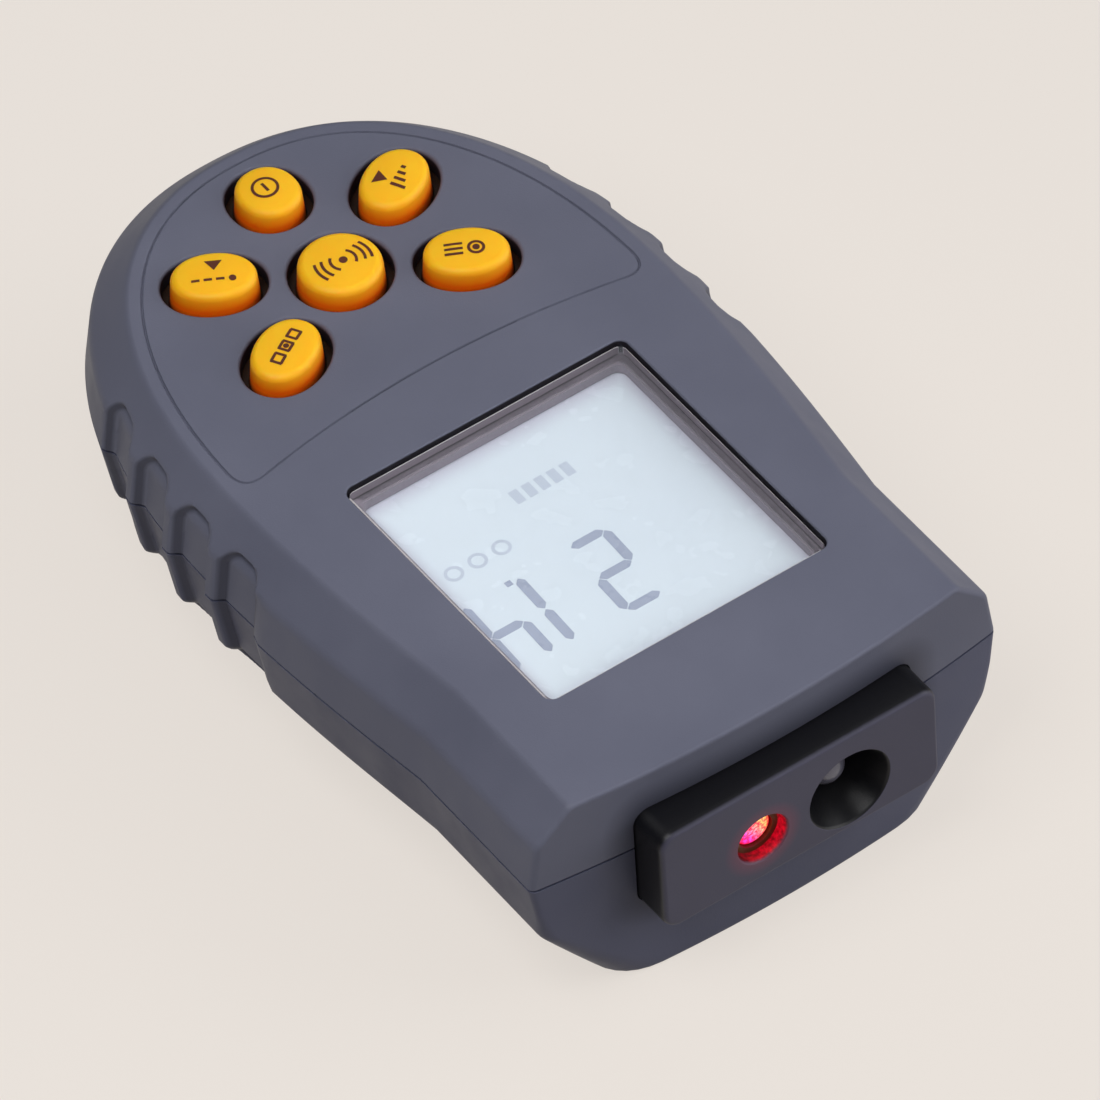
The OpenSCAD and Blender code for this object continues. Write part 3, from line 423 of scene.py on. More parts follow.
def block_way():
    shape = round_rect(BLOCK_W + 2 * GAP, BLOCK_H + 2 * GAP, BLOCK_R + GAP)
    return plug("way", shape, NOSE_Y - WALL - 1, FACE_Y, (0, BLOCK_Z))


def make_top():
    shell = case_loft("front_shell", refine(rounded(FRONT_SECTION, EDGE_R, 6)), scoops=True)
    hollow = [(-1, WALL, WALL, 0), (LIP_H + GAP, WALL, WALL, 0),
              (SIDE_H - TURN_IN, SIDE_LEAN + WALL, WALL, 0),
              (FRONT_H - WALL, DECK_IN + TURN_IN, WALL, 0)]
    deck_middle = DECK_Z - WALL / 2
    rim = round_rect(WINDOW_W + 2 * RIM_W, WINDOW_L + 2 * RIM_W, WINDOW_R)
    opening = round_rect(WINDOW_W - 2 * LEDGE_W, WINDOW_L - 2 * LEDGE_W, WINDOW_R)
    steps = [cut(case_loft("hollow", hollow))]
    steps += [join(post("boss", BOSS_R, PART_Z, deck_middle, p)) for p in SCREWS]
    steps += [join(post("standoff", STANDOFF_R, BOARD_Z, deck_middle, p)) for p in BOARD_SCREWS]
    steps += [
        join(prism("rim", rim, LEDGE_Z, deck_middle, (0, WINDOW_Y))),
        cut(window_recess()),
        cut(prism("opening", opening, LEDGE_Z - 1, DECK_Z, (0, WINDOW_Y))),
    ]
    steps += [cut(key_hole(name)) for name in KEYS]
    steps += [cut(groove_tool()), cut(block_way())]
    steps += [cut(post("pilot", 1.3, PART_Z - 1, PART_Z + SIDE_H - WALL / 2, p)) for p in SCREWS]
    steps += [cut(post("pilot", 0.9, BOARD_Z - 1, DECK_UNDER_Z - 1, p)) for p in BOARD_SCREWS]
    return carve(shell, steps)


# ---------------------------------------------------------------- rear shell
BAY_X, BAY_T, RAIL_TOP, CHEEK_T = BATTERY_W / 2 + 1.35, 1.5, 2.2 + GAP, 0.9
BAY_FAR_Y = FAR_Y + 16
BAY_NEAR_Y = BAY_FAR_Y + 1.6 + BATTERY_L + 4.6 + 0.6
DOOR_NEAR_Y = BAY_NEAR_Y + 1.5
RAIL_FAR_Y = DOOR_NEAR_Y - DOOR_TRAVEL
BAY_TOP_Z = BATTERY_Z + BATTERY_H - 1
SEAT_Z = PART_Z - HIP_H
COLLAR_Y = front_line(BLOCK_W / 2 + COLLAR_OUT, WALL) - GAP - COLLAR_T


def bay_and_wells():
    """Walls of the battery bay and the screw wells, kept inside the rear shell's middle."""
    mid = WALL / 2
    inside = [(v[0], v[1] + mid, v[2] + mid / 2, v[3]) for v in rounded(REAR_SECTION, EDGE_R, 3)]
    far, near = BAY_FAR_Y - BAY_T, BAY_NEAR_Y + BAY_T
    rim = bar("bay_rim", (-BAY_X - 2 * BAY_T, far, mid), (BAY_X + 2 * BAY_T, near, RAIL_TOP + 1.4))
    steps = [join(bar("bay", (-BAY_X - BAY_T, far, mid), (BAY_X + BAY_T, near, BAY_TOP_Z)))]
    for p in SCREWS:
        steps.append(join(post("well", 3.75, mid, SEAT_Z + 1.2, p)))
        steps.append(join(post("boss", BOSS_R, SEAT_Z, PART_Z, p)))
    steps.append(("INTERSECT", case_loft("inside", inside)))
    return carve(rim, steps)


def make_bottom():
    lip = WALL + GAP
    inner = lip + LIP_T
    rows = refine(rounded(REAR_SECTION, EDGE_R, 6))
    rows += [(-SEAM_H, SEAM_D, SEAM_D, 0), (0, SEAM_D, SEAM_D, 0)]
    shell = case_loft("rear_shell", rows, scoops=True)
    rim = [(-1.5, lip, lip, 0), (LIP_H, lip, lip, 0)]
    hollow = [(WALL - REAR_H, BACK_IN + TURN_IN, FRONT_DRAFT + WALL, BACK_FLARE),
              (TURN_IN - HIP_H, HIP_LEAN + WALL, FRONT_DRAFT / 2 + WALL, 0),
              (-2 * LIP_H, WALL, WALL, 0), (-LIP_H, inner, inner, 0), (LIP_H + 1, inner, inner, 0)]
    low, high = FAR_Y - 1, DOOR_NEAR_Y + GAP
    tongue = BAY_X + 1.3
    lead_z = BATTERY_Z + BATTERY_H / 2
    collar = round_rect(BLOCK_W + 2 * (COLLAR_OUT + GAP), BLOCK_H + 2 * (COLLAR_OUT + GAP), BLOCK_R)
    steps = [
        join(case_loft("lip", rim)),
        cut(case_loft("hollow", hollow)),
        join(bay_and_wells()),
        cut(bar("door_way", (-BAY_X, low, -1), (BAY_X, high, RAIL_TOP))),
        cut(bar("open_way", (-tongue, low, -1), (tongue, RAIL_FAR_Y + GAP, RAIL_TOP))),
        cut(bar("rail_way", (-tongue, low, CHEEK_T), (tongue, high, RAIL_TOP))),
        cut(plug("collar_way", collar, COLLAR_Y - GAP, COLLAR_Y + COLLAR_T + GAP / 2,
                 (0, BLOCK_Z))),
        cut(bar("bay_way", (-BAY_X, BAY_FAR_Y, CHEEK_T), (BAY_X, BAY_NEAR_Y, PART_Z + 1))),
        cut(bar("lead_way", (-3.4, BAY_NEAR_Y - 1, lead_z - 0.9), (3.4, BAY_NEAR_Y + 2.5, 40))),
    ]
    for p in SCREWS:
        steps.append(cut(post("well_way", 2.55, -1, SEAT_Z, p)))
        steps.append(cut(post("screw_way", 1.45, -1, PART_Z + 2, p)))
    steps.append(cut(block_way()))
    return carve(shell, steps)


# ---------------------------------------------------------------- sensor block
def rod(name, x, radii):
    """A turned solid along Y at an aperture, through (radius, y)."""
    return loft(name, [upright(circle(r, 80), y, (x, APERTURE_Z)) for r, y in radii])


def make_block():
    path = rounded([(FACE_Y, BLOCK_EDGE + 0.2), (FACE_Y, 0.0), (COLLAR_Y, 0.0)],
                   BLOCK_EDGE + 0.1, 9)
    rings = []
    for y, inset in path:
        shape = round_rect(BLOCK_W - 2 * inset, BLOCK_H - 2 * inset, BLOCK_R - inset * 0.4, 10)
        rings.append(upright(shape, y, (0, BLOCK_Z)))
    block = loft("block", rings)
    collar = round_rect(BLOCK_W + 2 * COLLAR_OUT, BLOCK_H + 2 * COLLAR_OUT, BLOCK_R)
    tube_r, bore_r = 4.2, 3.0
    barrel_back, receiver_back = FACE_Y - 11.5, FACE_Y - 7.5
    mouth = [(LASER_R, FACE_Y - 1.5), (LASER_R, FACE_Y - 0.3), (3.36, FACE_Y - 0.12),
             (3.5, FACE_Y), (3.7, FACE_Y + 0.2)]
    cone = [(2.55, receiver_back - 1), (2.55, receiver_back), (CONE_R, FACE_Y - 0.34),
            (5.4, FACE_Y - 0.08), (5.5, FACE_Y), (5.7, FACE_Y + 0.2)]
    return carve(block, [
        join(plug("collar", collar, COLLAR_Y, COLLAR_Y + COLLAR_T, (0, BLOCK_Z))),
        join(rod("sleeve", LASER_X, [(tube_r, barrel_back + 1), (tube_r, COLLAR_Y + 1)])),
        join(rod("tube", -RECEIVER_X, [(tube_r, receiver_back - 1.2), (tube_r, FACE_Y - 2.2)])),
        cut(rod("bore", LASER_X, [(bore_r, barrel_back), (bore_r, FACE_Y - 1)])),
        cut(rod("mouth", LASER_X, mouth)),
        cut(rod("cone", -RECEIVER_X, cone)),
        cut(rod("seat", -RECEIVER_X, [(bore_r, receiver_back - 2.2), (bore_r, receiver_back)])),
    ])


# ---------------------------------------------------------------- keys and their marks
def key_height(share):
    """Height of a key's top over its edge-to-middle share: 0 in the middle, 1 at the side."""
    crown, start, edge = 0.22, 0.76, 1.0
    top = KEY_TOP - PRINT_LIFT
    if share < start:
        return top - crown * (share / start) ** 2
    t = (share - start) / (1 - start)
    return top - crown - edge * (1 - math.sqrt(max(1 - t ** 2.3, 0.0)))


def make_key(name):
    """A key: foot, flange under the deck, tapered side and crowned top."""
    a, b, turn, x, y, share = KEYS[name]
    a, b = a - KEY_GAP, b - KEY_GAP

    def ring(grow, z):
        return level(oval(a + grow, b + grow, turn, share), z, (x, y))

    shoulder, side, low = FLANGE_Z + FLANGE_T, DECK_Z - 0.4, key_height(1.0)
    rings = [ring(grow, z) for grow, z in (
        (-0.7, KEY_FOOT_Z), (-0.7, FLANGE_Z), (FLANGE_W, FLANGE_Z), (FLANGE_W, shoulder),
        (0.25, shoulder), (0.08, shoulder + 0.2), (0.0, DECK_Z - 1.2), (-0.05, side))]
    rings += [ring(-0.05 - (KEY_TAPER - 0.05) * k / 3, side + (low - side) * k / 3)
              for k in (1, 2, 3)]
    for k in range(1, 40):
        s = math.cos(math.pi / 2 * k / 40)
        top = oval((a - KEY_TAPER) * s, (b - KEY_TAPER) * s, turn, share)
        rings.append(level(top, key_height(s), (x, y)))
    return loft(name + "_cap", rings)


def turned(x, y, angle):
    c, s = math.cos(angle), math.sin(angle)
    return x * c - y * s, x * s + y * c


# Degrees by which a key's mark is turned from the reader's line
MARK_TURN = {"mode": 30, "store": -30, "peak": 30, "beam": -30}


def key_point(name, u, v, lift):
    """A point u, v of a mark, in millimetres as it is read, laid on the key's top."""
    a, b, turn, x, y, share = KEYS[name]
    a, b = a - KEY_GAP - KEY_TAPER, b - KEY_GAP - KEY_TAPER
    dx, dy = turned(u, v, math.radians(MARK_TURN.get(name, 0)))
    lx, ly = turned(dx, dy, -math.radians(turn))
    s = ((abs(lx) / a) ** share + (abs(ly) / b) ** share) ** (1 / share)
    return x + dx, y + dy, key_height(min(s, 1.0)) + lift


class Mark:
    """Flat print made of strokes and filled shapes, given a thickness."""

    PATCH = 0.35

    def __init__(self, lay):
        self.lay = lay
        self.verts = []
        self.faces = []

    def quad(self, corners):
        """A four-cornered patch, divided and closed as a thin slab."""
        a, b, c, d = corners
        n = max(1, math.ceil(max(math.dist(a, b), math.dist(c, d)) / self.PATCH))
        m = max(1, math.ceil(max(math.dist(b, c), math.dist(a, d)) / self.PATCH))
        base = len(self.verts)
        for lift in (PRINT_LIFT, -PRINT_LIFT):
            for j in range(m + 1):
                for i in range(n + 1):
                    s, t = i / n, j / m
                    u, v = ((a[k] * (1 - s) + b[k] * s) * (1 - t) + (d[k] * (1 - s) + c[k] * s) * t
                            for k in (0, 1))
                    self.verts.append(self.lay(u, v, lift))
        row = n + 1
        size = row * (m + 1)
        for j in range(m):
            for i in range(n):
                q = base + j * row + i
                self.faces.append((q, q + 1, q + row + 1, q + row))
                self.faces.append((q + size, q + size + row, q + size + row + 1, q + size + 1))
        rim = list(range(row)) + [j * row + n for j in range(1, m + 1)]
        rim += [m * row + i for i in range(n - 1, -1, -1)] + [j * row for j in range(m - 1, 0, -1)]
        for p, q in zip(rim, rim[1:] + rim[:1]):
            self.faces.append((base + p, base + p + size, base + q + size, base + q))

    def box(self, x, y, w, h):
        self.quad([(x + u, y + v) for u, v in ((0, 0), (w, 0), (w, h), (0, h))])

    def stroke(self, p, q, width):
        length = math.dist(p, q)
        nx = (p[1] - q[1]) / length * width / 2
        ny = (q[0] - p[0]) / length * width / 2
        self.quad([(end[0] + way * nx, end[1] + way * ny)
                   for end, way in ((p, -1), (q, -1), (q, 1), (p, 1))])

    def band(self, at, r, width, start=0, end=360, n=36):
        """Part of a ring, in degrees."""
        for k in range(n):
            a, b = (math.radians(start + (end - start) * (k + d) / n) for d in (0, 1))
            lo, hi = r - width / 2, r + width / 2
            self.quad([(at[0] + q * math.cos(t), at[1] + q * math.sin(t))
                       for q, t in ((lo, a), (hi, a), (hi, b), (lo, b))])

    def disc(self, at, r):
        corners = (0.785, 2.356, 3.927, 5.498)
        self.quad([(at[0] + r * math.cos(t), at[1] + r * math.sin(t)) for t in corners])
        self.band(at, r * 0.86, r * 0.3, n=20)

    def triangle(self, a, b, c):
        ab, bc, ca = ([(p[k] + q[k]) / 2 for k in (0, 1)] for p, q in ((a, b), (b, c), (a, c)))
        self.quad([a, ab, c, ca])
        self.quad([ab, b, bc, c])

    def make(self, name):
        return new_object(name, self.verts, self.faces)


def key_mark(name):
    """A plain pictogram for each key."""
    mark = Mark(lambda u, v, lift: key_point(name, u, v, lift))
    line = 0.34
    if name == "power":
        mark.band((0.2, -0.25), 1.45, line)
        mark.stroke((0.2, -0.95), (0.2, 0.45), line)
    elif name == "measure":
        at = (-0.3, 0.25)
        mark.disc(at, 0.5)
        for r in (1.5, 2.5, 3.3):
            reach = 62 / r ** 0.75
            for side in (0, 180):
                mark.band(at, r, line, side - reach, side + reach, 14)
    elif name == "mode":
        half = 0.62
        for u in (-2.0, 0.0, 2.0):
            for v in (0.7, -0.5):
                mark.stroke((u - half, v), (u + half, v), line)
            for x in (u - half, u + half):
                mark.stroke((x, -0.6), (x, 0.8), line)
            if u == 0.0:
                mark.disc((u, 0.1), 0.34)
    elif name == "store":
        mark.band((-1.1, 0.1), 0.85, line)
        mark.disc((-1.1, 0.1), 0.42)
        for v in (-0.65, 0.1, 0.85):
            mark.stroke((0.4, v), (2.5, v), line)
    elif name == "peak":
        mark.triangle((-0.1, -1.9), (1.9, -1.9), (0.9, -0.35))
        for k in range(4):
            u = -1.6 + 0.95 * k
            mark.stroke((u, 0.2), (u, 0.75 + 0.42 * k), 0.42)
    elif name == "beam":
        mark.triangle((-1.1, -1.9), (0.9, -1.9), (-0.1, -0.35))
        mark.disc((-2.1, 1.0), 0.42)
        for u in (-1.2, 0.2, 1.6):
            mark.stroke((u, 1.0), (u + 0.95, 1.0), line)
    return mark.make(name + "_mark")


# ---------------------------------------------------------------- display
SEGMENTS = {"2": "abged", "1": "bc", "4": "fgbc"}


def on_glass(u, v, lift):
    """A point of a sign on the display glass."""
    return u, v, SIGN_Z + lift * 0.3


def digit(mark, sign, x, y, w, h):
    """A seven-segment digit in the box from x, y, slanted a little to the right."""
    thick, gap, lean, blunt = 1.2, 0.12, 0.03, 0.12
    half, tip = h / 2, thick / 2

    def at(u, v):
        return x + u + lean * v, y + v

    lines = {"a": ((0, h), (w, h)), "b": ((w, h), (w, half)), "c": ((w, half), (w, 0)),
             "d": ((0, 0), (w, 0)), "e": ((0, half), (0, 0)), "f": ((0, h), (0, half)),
             "g": ((0, half), (w, half))}
    for letter in SEGMENTS[sign]:
        (u0, v0), (u1, v1) = lines[letter]
        length = math.dist((u0, v0), (u1, v1))
        du, dv = (u1 - u0) / length, (v1 - v0) / length
        nu, nv = -dv * thick / 2, du * thick / 2
        a, b = gap, length - gap
        patches = [[(a + tip, -1), (b - tip, -1), (b - tip, 1), (a + tip, 1)]]
        patches += [[(inner, -1), (end, -blunt), (end, blunt), (inner, 1)]
                    for end, inner in ((a, a + tip), (b, b - tip))]
        for patch in patches:
            mark.quad([at(u0 + du * s + nu * t, v0 + dv * s + nv * t) for s, t in patch])


def reading():
    """Three digits and a point, cut off at the window's edge as in the reference."""
    mark = Mark(on_glass)
    for sign, x, w in (("2", -2.2, 4.5), ("1", 5.0, 4.5), ("4", 12.4, 4.3)):
        digit(mark, sign, x, 17.9, w, 11.2)
    mark.box(10.3, 17.6, 0.8, 0.8)
    return mark.make("reading")


def small_signs():
    """A bar graph and three rings in the display, fainter than the digits."""
    mark = Mark(on_glass)
    for k in range(5):
        mark.box(-4.9 + 1.7 * k, 6.9, 1.1, 2.1)
    for k in range(3):
        mark.band((8.2 + 3.2 * k, 13.1), 0.95, 0.4, n=24)
    return mark.make("small_signs")


def make_lens():
    """The clear window lens, with its upper edge rounded off."""
    r = 0.28
    w, l = WINDOW_W - 2 * LENS_GAP, WINDOW_L - 2 * LENS_GAP

    def ring(inset, z):
        corner = WINDOW_R - LENS_GAP - inset * 0.6
        return level(round_rect(w - 2 * inset, l - 2 * inset, corner), z, (0, WINDOW_Y))

    rings = [ring(0, LENS_Z)]
    for k in range(6):
        a = math.pi / 2 * k / 5
        rings.append(ring(r * (1 - math.cos(a)), LENS_TOP - r + r * math.sin(a)))
    return loft("clear_lens", rings)


def make_laser_lens():
    """The laser's lens, a low dome."""
    r, dome, front = 2.2, 0.25, FACE_Y - 1.8
    at = (LASER_X, APERTURE_Z)
    rings = [upright(circle(r), front - 0.7, at)]
    for k in range(10):
        a = math.pi / 2 * k / 10
        rings.append(upright(circle(r * math.cos(a)), front - dome + dome * math.sin(a), at))
    return loft("glowing_lens", rings)


# ---------------------------------------------------------------- node tools
def rgba(colour):
    """sRGB 0 to 255 as linear RGBA."""
    return tuple(((v / 255 + 0.055) / 1.055) ** 2.4 if v > 10 else v / 255 / 12.92
                 for v in colour) + (1.0,)


def shades(colour, spread):
    """A little darker and a little lighter than a colour."""
    return [tuple(min(max(v + way * spread, 0), 255) for v in colour) for way in (-1, 1)]


class Nodes:
    """Adds and links the nodes of one material."""

    def __init__(self, name):
        self.mat = bpy.data.materials.new(name)
        self.mat.use_nodes = True
        self.tree = self.mat.node_tree
        self.shader = self.tree.nodes["Principled BSDF"]
        self.coords = self.add("ShaderNodeTexCoord").outputs["Object"]
        self.xyz = self.add("ShaderNodeSeparateXYZ", Vector=self.coords).outputs

    def put(self, node, key, value):
        """Links a socket or sets a value; key is a number or a name with underscores."""
        socket = node.inputs[key if isinstance(key, int) else key.replace("_", " ")]
        if isinstance(value, bpy.types.NodeSocket):
            self.tree.links.new(value, socket)
        else:
            socket.default_value = value

    def add(self, kind, *values, **inputs):
        node = self.tree.nodes.new(kind)
        for key, value in [*enumerate(values), *inputs.items()]:
            self.put(node, key, value)
        return node

    def noise(self, scale, detail=3.0, rough=0.5):
        return self.add("ShaderNodeTexNoise", Vector=self.coords, Scale=scale, Detail=detail,
                        Roughness=rough).outputs[0]

    def spread(self, value, low, high, to_low=0.0, to_high=1.0):
        return self.add("ShaderNodeMapRange", value, low, high, to_low, to_high).outputs[0]

    def fade(self, value, low, high, to_low=0.0, to_high=1.0):
        """Spreads a length, with its limits in millimetres."""
        return self.spread(value, low * MM, high * MM, to_low, to_high)

    def cloud(self, scale, detail=3.0, low=0.0, high=1.0):
        return self.spread(self.noise(scale, detail), 0.3, 0.7, low, high)

    def mix(self, factor, a, b):
        node = self.tree.nodes.new("ShaderNodeMix")
        node.data_type = "RGBA"
        self.put(node, 0, factor)
        for key, colour in ((6, a), (7, b)):
            self.put(node, key, rgba(colour) if isinstance(colour, tuple) else colour)
        return node.outputs[2]

    def math(self, op, a, b=0.0):
        node = self.add("ShaderNodeMath", a, b)
        node.operation = op
        return node.outputs[0]

    def product(self, a, b):
        return self.math("MULTIPLY", a, b)

    def less(self, value, limit):
        """1 where a length is under a limit in millimetres."""
        return self.math("LESS_THAN", value, limit * MM)

    def beyond(self, value, limit):
        """How far a length passes a limit in millimetres."""
        return self.math("SUBTRACT", value, limit * MM)

    def away(self, axis, middle=0.0):
        """Distance along an axis from a place in millimetres."""
        return self.math("ABSOLUTE", self.beyond(self.xyz[axis], middle))

    def hypot(self, a, b):
        return self.math("SQRT", self.math("ADD", self.product(a, a), self.product(b, b)))

    def bump(self, height, strength, distance):
        node = self.add("ShaderNodeBump", Height=height, Strength=strength, Distance=distance)
        self.put(self.shader, "Normal", node.outputs[0])

    def set(self, **values):
        """Sets or links inputs of the shader; colours are sRGB."""
        for key, value in values.items():
            if key.endswith("_Color") and isinstance(value, tuple):
                value = rgba(value)
            self.put(self.shader, key, value)
        return self.mat


# ---------------------------------------------------------------- materials
def plastic(name, colour, shade=None):
    """Moulded plastic with a fine grain and a faint cloudiness; shade paints shade onto parts of
    it.
    """
    n = Nodes(name)
    base = n.mix(n.cloud(55, 4), *shades(colour, 4))
    n.bump(n.noise(5200, 2, 0.6), 0.35, 0.00006)
    return n.set(
        Base_Color=shade(n, base) if shade else base,
        Roughness=n.cloud(220, 3, 0.45, 0.55),
        Specular_IOR_Level=0.18,
    )


def scoop_shade(n, base):
    """Paints shade onto the walls of the finger scoops, darkening the creases where shade falls."""
    pitch = SCOOP_PITCH * MM
    along = n.beyond(n.xyz["Y"], FAR_Y + SCOOP_SET + SCOOP_PITCH * (SCOOP_COUNT - 1) / 2)
    step = n.math("SNAP", n.math("ADD", along, pitch * 2), pitch)
    off = n.math("SUBTRACT", n.math("SUBTRACT", along, step), -pitch * 1.5)
    dy = n.beyond(n.math("ABSOLUTE", off), SCOOP_W / 2 - SCOOP_R)
    dz = n.beyond(n.away("Z", PART_Z + (SCOOP_TOP - SCOOP_LOW) / 2),
                  (SCOOP_TOP + SCOOP_LOW) / 2 - SCOOP_R)
    outside = n.hypot(n.math("MAXIMUM", dy, 0.0), n.math("MAXIMUM", dz, 0.0))
    inside = n.math("MINIMUM", n.math("MAXIMUM", dy, dz), 0.0)
    near = n.beyond(n.math("ADD", outside, inside), SCOOP_R)
    band = n.product(n.fade(near, 0.0, 0.4, 1.0, 0.0), n.fade(near, -0.95, -0.45))
    reach = n.less(n.math("ABSOLUTE", along), SCOOP_PITCH * 2)
    # Painted shade: the scoop walls are mixed toward a dark blue-grey.
    return n.mix(n.product(n.product(band, reach), 0.6), base, (30, 30, 42))


def block_shade(n, base):
    """Paints shade onto the front wall close to the sensor block, where the block shadows it."""
    inset = 2.0
    past = [n.math("MAXIMUM", n.beyond(n.away(axis, middle), size / 2 - inset), 0.0)
            for axis, middle, size in (("X", 0.0, BLOCK_W), ("Z", BLOCK_Z, BLOCK_H))]
    near = n.product(n.fade(n.hypot(*past), inset, 6.0, 0.6, 0.0),
                     n.fade(n.xyz["Y"], NOSE_Y - 2.5, NOSE_Y - 0.5))
    # Painted shade round the block opening.
    return n.mix(near, base, (20, 18, 28))


def front_shade(n, base):
    """Paints shade onto the front shell: dark recess walls and key holes, and near the sensor
    block; the seat under the lens is mauve.
    """
    z = n.xyz["Z"]
    base = scoop_shade(n, base)
    inside = n.product(n.less(n.away("X"), WINDOW_W / 2 + 0.05),
                       n.less(n.away("Y", WINDOW_Y), WINDOW_L / 2 + 0.05))
    wall = n.fade(z, DECK_Z - 0.3, DECK_Z - 0.12, 1.0, 0.0)
    # Painted shade on the walls of the window recess.
    base = n.mix(n.product(wall, inside), base, (34, 32, 38))
    keypad = n.less(n.hypot(n.xyz["X"], n.beyond(n.xyz["Y"], KEY_Y)), KEY_RING + 7.2)
    deep = n.fade(z, DECK_Z - 0.7, DECK_Z - 0.06, 1.0, 0.0)
    # Painted shade down the walls of the key holes.
    base = n.mix(n.product(keypad, deep), base, (30, 30, 38))
    seat = n.fade(z, LENS_Z - 0.1, LENS_Z + 0.1, 1.0, 0.0)
    base = n.mix(n.product(seat, inside), base, (122, 112, 124))
    return block_shade(n, base)


# Painted shade on the rear shell: in the finger scoops and close to the sensor block.
def rear_shade(n, base):
    return block_shade(n, scoop_shade(n, base))


def sensor_finish():
    """Dark plastic: smooth on the sides, grained and paler on the face, with painted red laser
    light on the laser hole's wall and round it.
    """
    n = Nodes("sensor_black")
    y = n.xyz["Y"]
    n.bump(n.noise(5200, 2, 0.6), 0.3, 0.00005)
    at_laser = n.hypot(n.beyond(n.xyz["X"], LASER_X), n.beyond(n.xyz["Z"], APERTURE_Z))
    at_receiver = n.hypot(n.beyond(n.xyz["X"], -RECEIVER_X), n.beyond(n.xyz["Z"], APERTURE_Z))
    face = n.fade(y, FACE_Y - 0.55, FACE_Y - 0.05)
    # Painted light: the laser hole's wall glows red and speckled, most toward its lower side.
    hole = n.product(n.less(at_laser, LASER_R + 0.08), n.fade(y, FACE_Y - 0.02, FACE_Y - 0.5))
    corner = APERTURE_Z + LASER_X
    low = n.fade(n.math("ADD", n.xyz["Z"], n.xyz["X"]), corner - 4.0, corner + 1.0, 0.6, 0.03)
    speck = n.spread(n.noise(1700, 3, 0.6), 0.35, 0.65, 0.35, 1.1)
    glow = n.product(hole, n.product(speck, low))
    # Painted light: a faint red spill of laser light on the face round the hole.
    painted_laser_spill = n.product(n.fade(at_laser, LASER_R, 5.2, 0.05, 0.0), face)
    face = n.product(face, n.math("SUBTRACT", 1.0, n.less(at_receiver, CONE_R + 0.25)))
    return n.set(
        Base_Color=n.mix(face, (8, 8, 13), n.mix(n.cloud(60), (65, 64, 80), (70, 69, 86))),
        Roughness=n.spread(face, 0.0, 1.0, 0.42, 0.55),
        Specular_IOR_Level=0.3,
        # This emission is painted laser light on plain plastic, not a lamp.
        Emission_Color=(255, 8, 40),
        Emission_Strength=n.math("MAXIMUM", glow, painted_laser_spill),
    )


def rubber(name, top, low, foot):
    """Keypad silicone with painted shade: deeper orange down the side, and dark brown at the flange
    and mat under the deck, where the holes lie in shade.
    """
    n = Nodes(name)
    z = n.xyz["Z"]
    # Painted shade: the orange deepens down the side and turns dark brown under the deck.
    height = n.fade(z, DECK_Z - 0.7, KEY_TOP - 0.35)
    above = n.fade(z, DECK_Z - 2.3, DECK_Z - 1.0)
    tone = n.mix(n.cloud(160), *shades(top, 3))
    n.bump(n.noise(3800, 2, 0.6), 0.25, 0.00004)
    return n.set(
        Base_Color=n.mix(above, foot, n.mix(height, low, tone)),
        Roughness=n.cloud(300, 2, 0.46, 0.56),
        Specular_IOR_Level=0.3,
        Subsurface_Weight=0.5,
        Subsurface_Radius=(0.003, 0.001, 0.0002),
        Subsurface_Scale=1.0,
    )


def simple(name, colour, rough=0.5, metal=0.0, spread=6, scale=300, grain=(0.00002, 1500), **more):
    """A clouded colour with a soft bump; grain is its depth in metres and its scale."""
    n = Nodes(name)
    n.bump(n.noise(grain[1]), 0.3, grain[0])
    return n.set(
        Base_Color=n.mix(n.cloud(scale), *shades(colour, spread)),
        Roughness=n.cloud(scale * 1.7, 3, max(rough - 0.06, 0.02), rough + 0.06),
        Metallic=metal,
        **more,
    )


def lens_finish():
    """Clear acrylic: nearly all of what is under it shows; its rounded rim carries a painted
    highlight along the top and is mauve-grey lower down.
    """
    n = Nodes("clear_acrylic")
    to_rim = n.math("MAXIMUM", n.beyond(n.away("X"), WINDOW_W / 2 - LENS_GAP),
                    n.beyond(n.away("Y", WINDOW_Y), WINDOW_L / 2 - LENS_GAP))
    # Painted highlight: the top of the rim is near-white and less clear.
    rim = n.fade(to_rim, -0.2, -0.12)
    high = n.fade(n.xyz["Z"], LENS_TOP - 0.42, LENS_TOP - 0.26)
    return n.set(
        Base_Color=n.mix(rim, (222, 228, 236), n.mix(high, (132, 120, 132), (250, 242, 242))),
        Roughness=n.cloud(400, 2, 0.04, 0.07),
        Specular_IOR_Level=0.7,
        Alpha=n.spread(rim, 0.0, 1.0, 0.06, 0.85),
    )


def display_finish():
    """Reflective display cell: pale blue-white, with painted shade, a mauve fall-off near the frame
    where the recess shadows it.
    """
    n = Nodes("display_cell")
    side = n.fade(n.away("X"), WINDOW_W / 2 - 3.6, WINDOW_W / 2 - 1.0)
    end = n.fade(n.away("Y", WINDOW_Y), WINDOW_L / 2 - 4.2, WINDOW_L / 2 - 1.0)
    tone = n.mix(n.cloud(40, 2), (219, 231, 241), (223, 235, 244))
    # Painted shade: mauve toward the frame.
    edge = n.math("POWER", n.math("MAXIMUM", side, end), 1.6)
    return n.set(
        Base_Color=n.mix(edge, tone, (190, 188, 206)),
        Roughness=n.cloud(250, 2, 0.2, 0.3),
    )


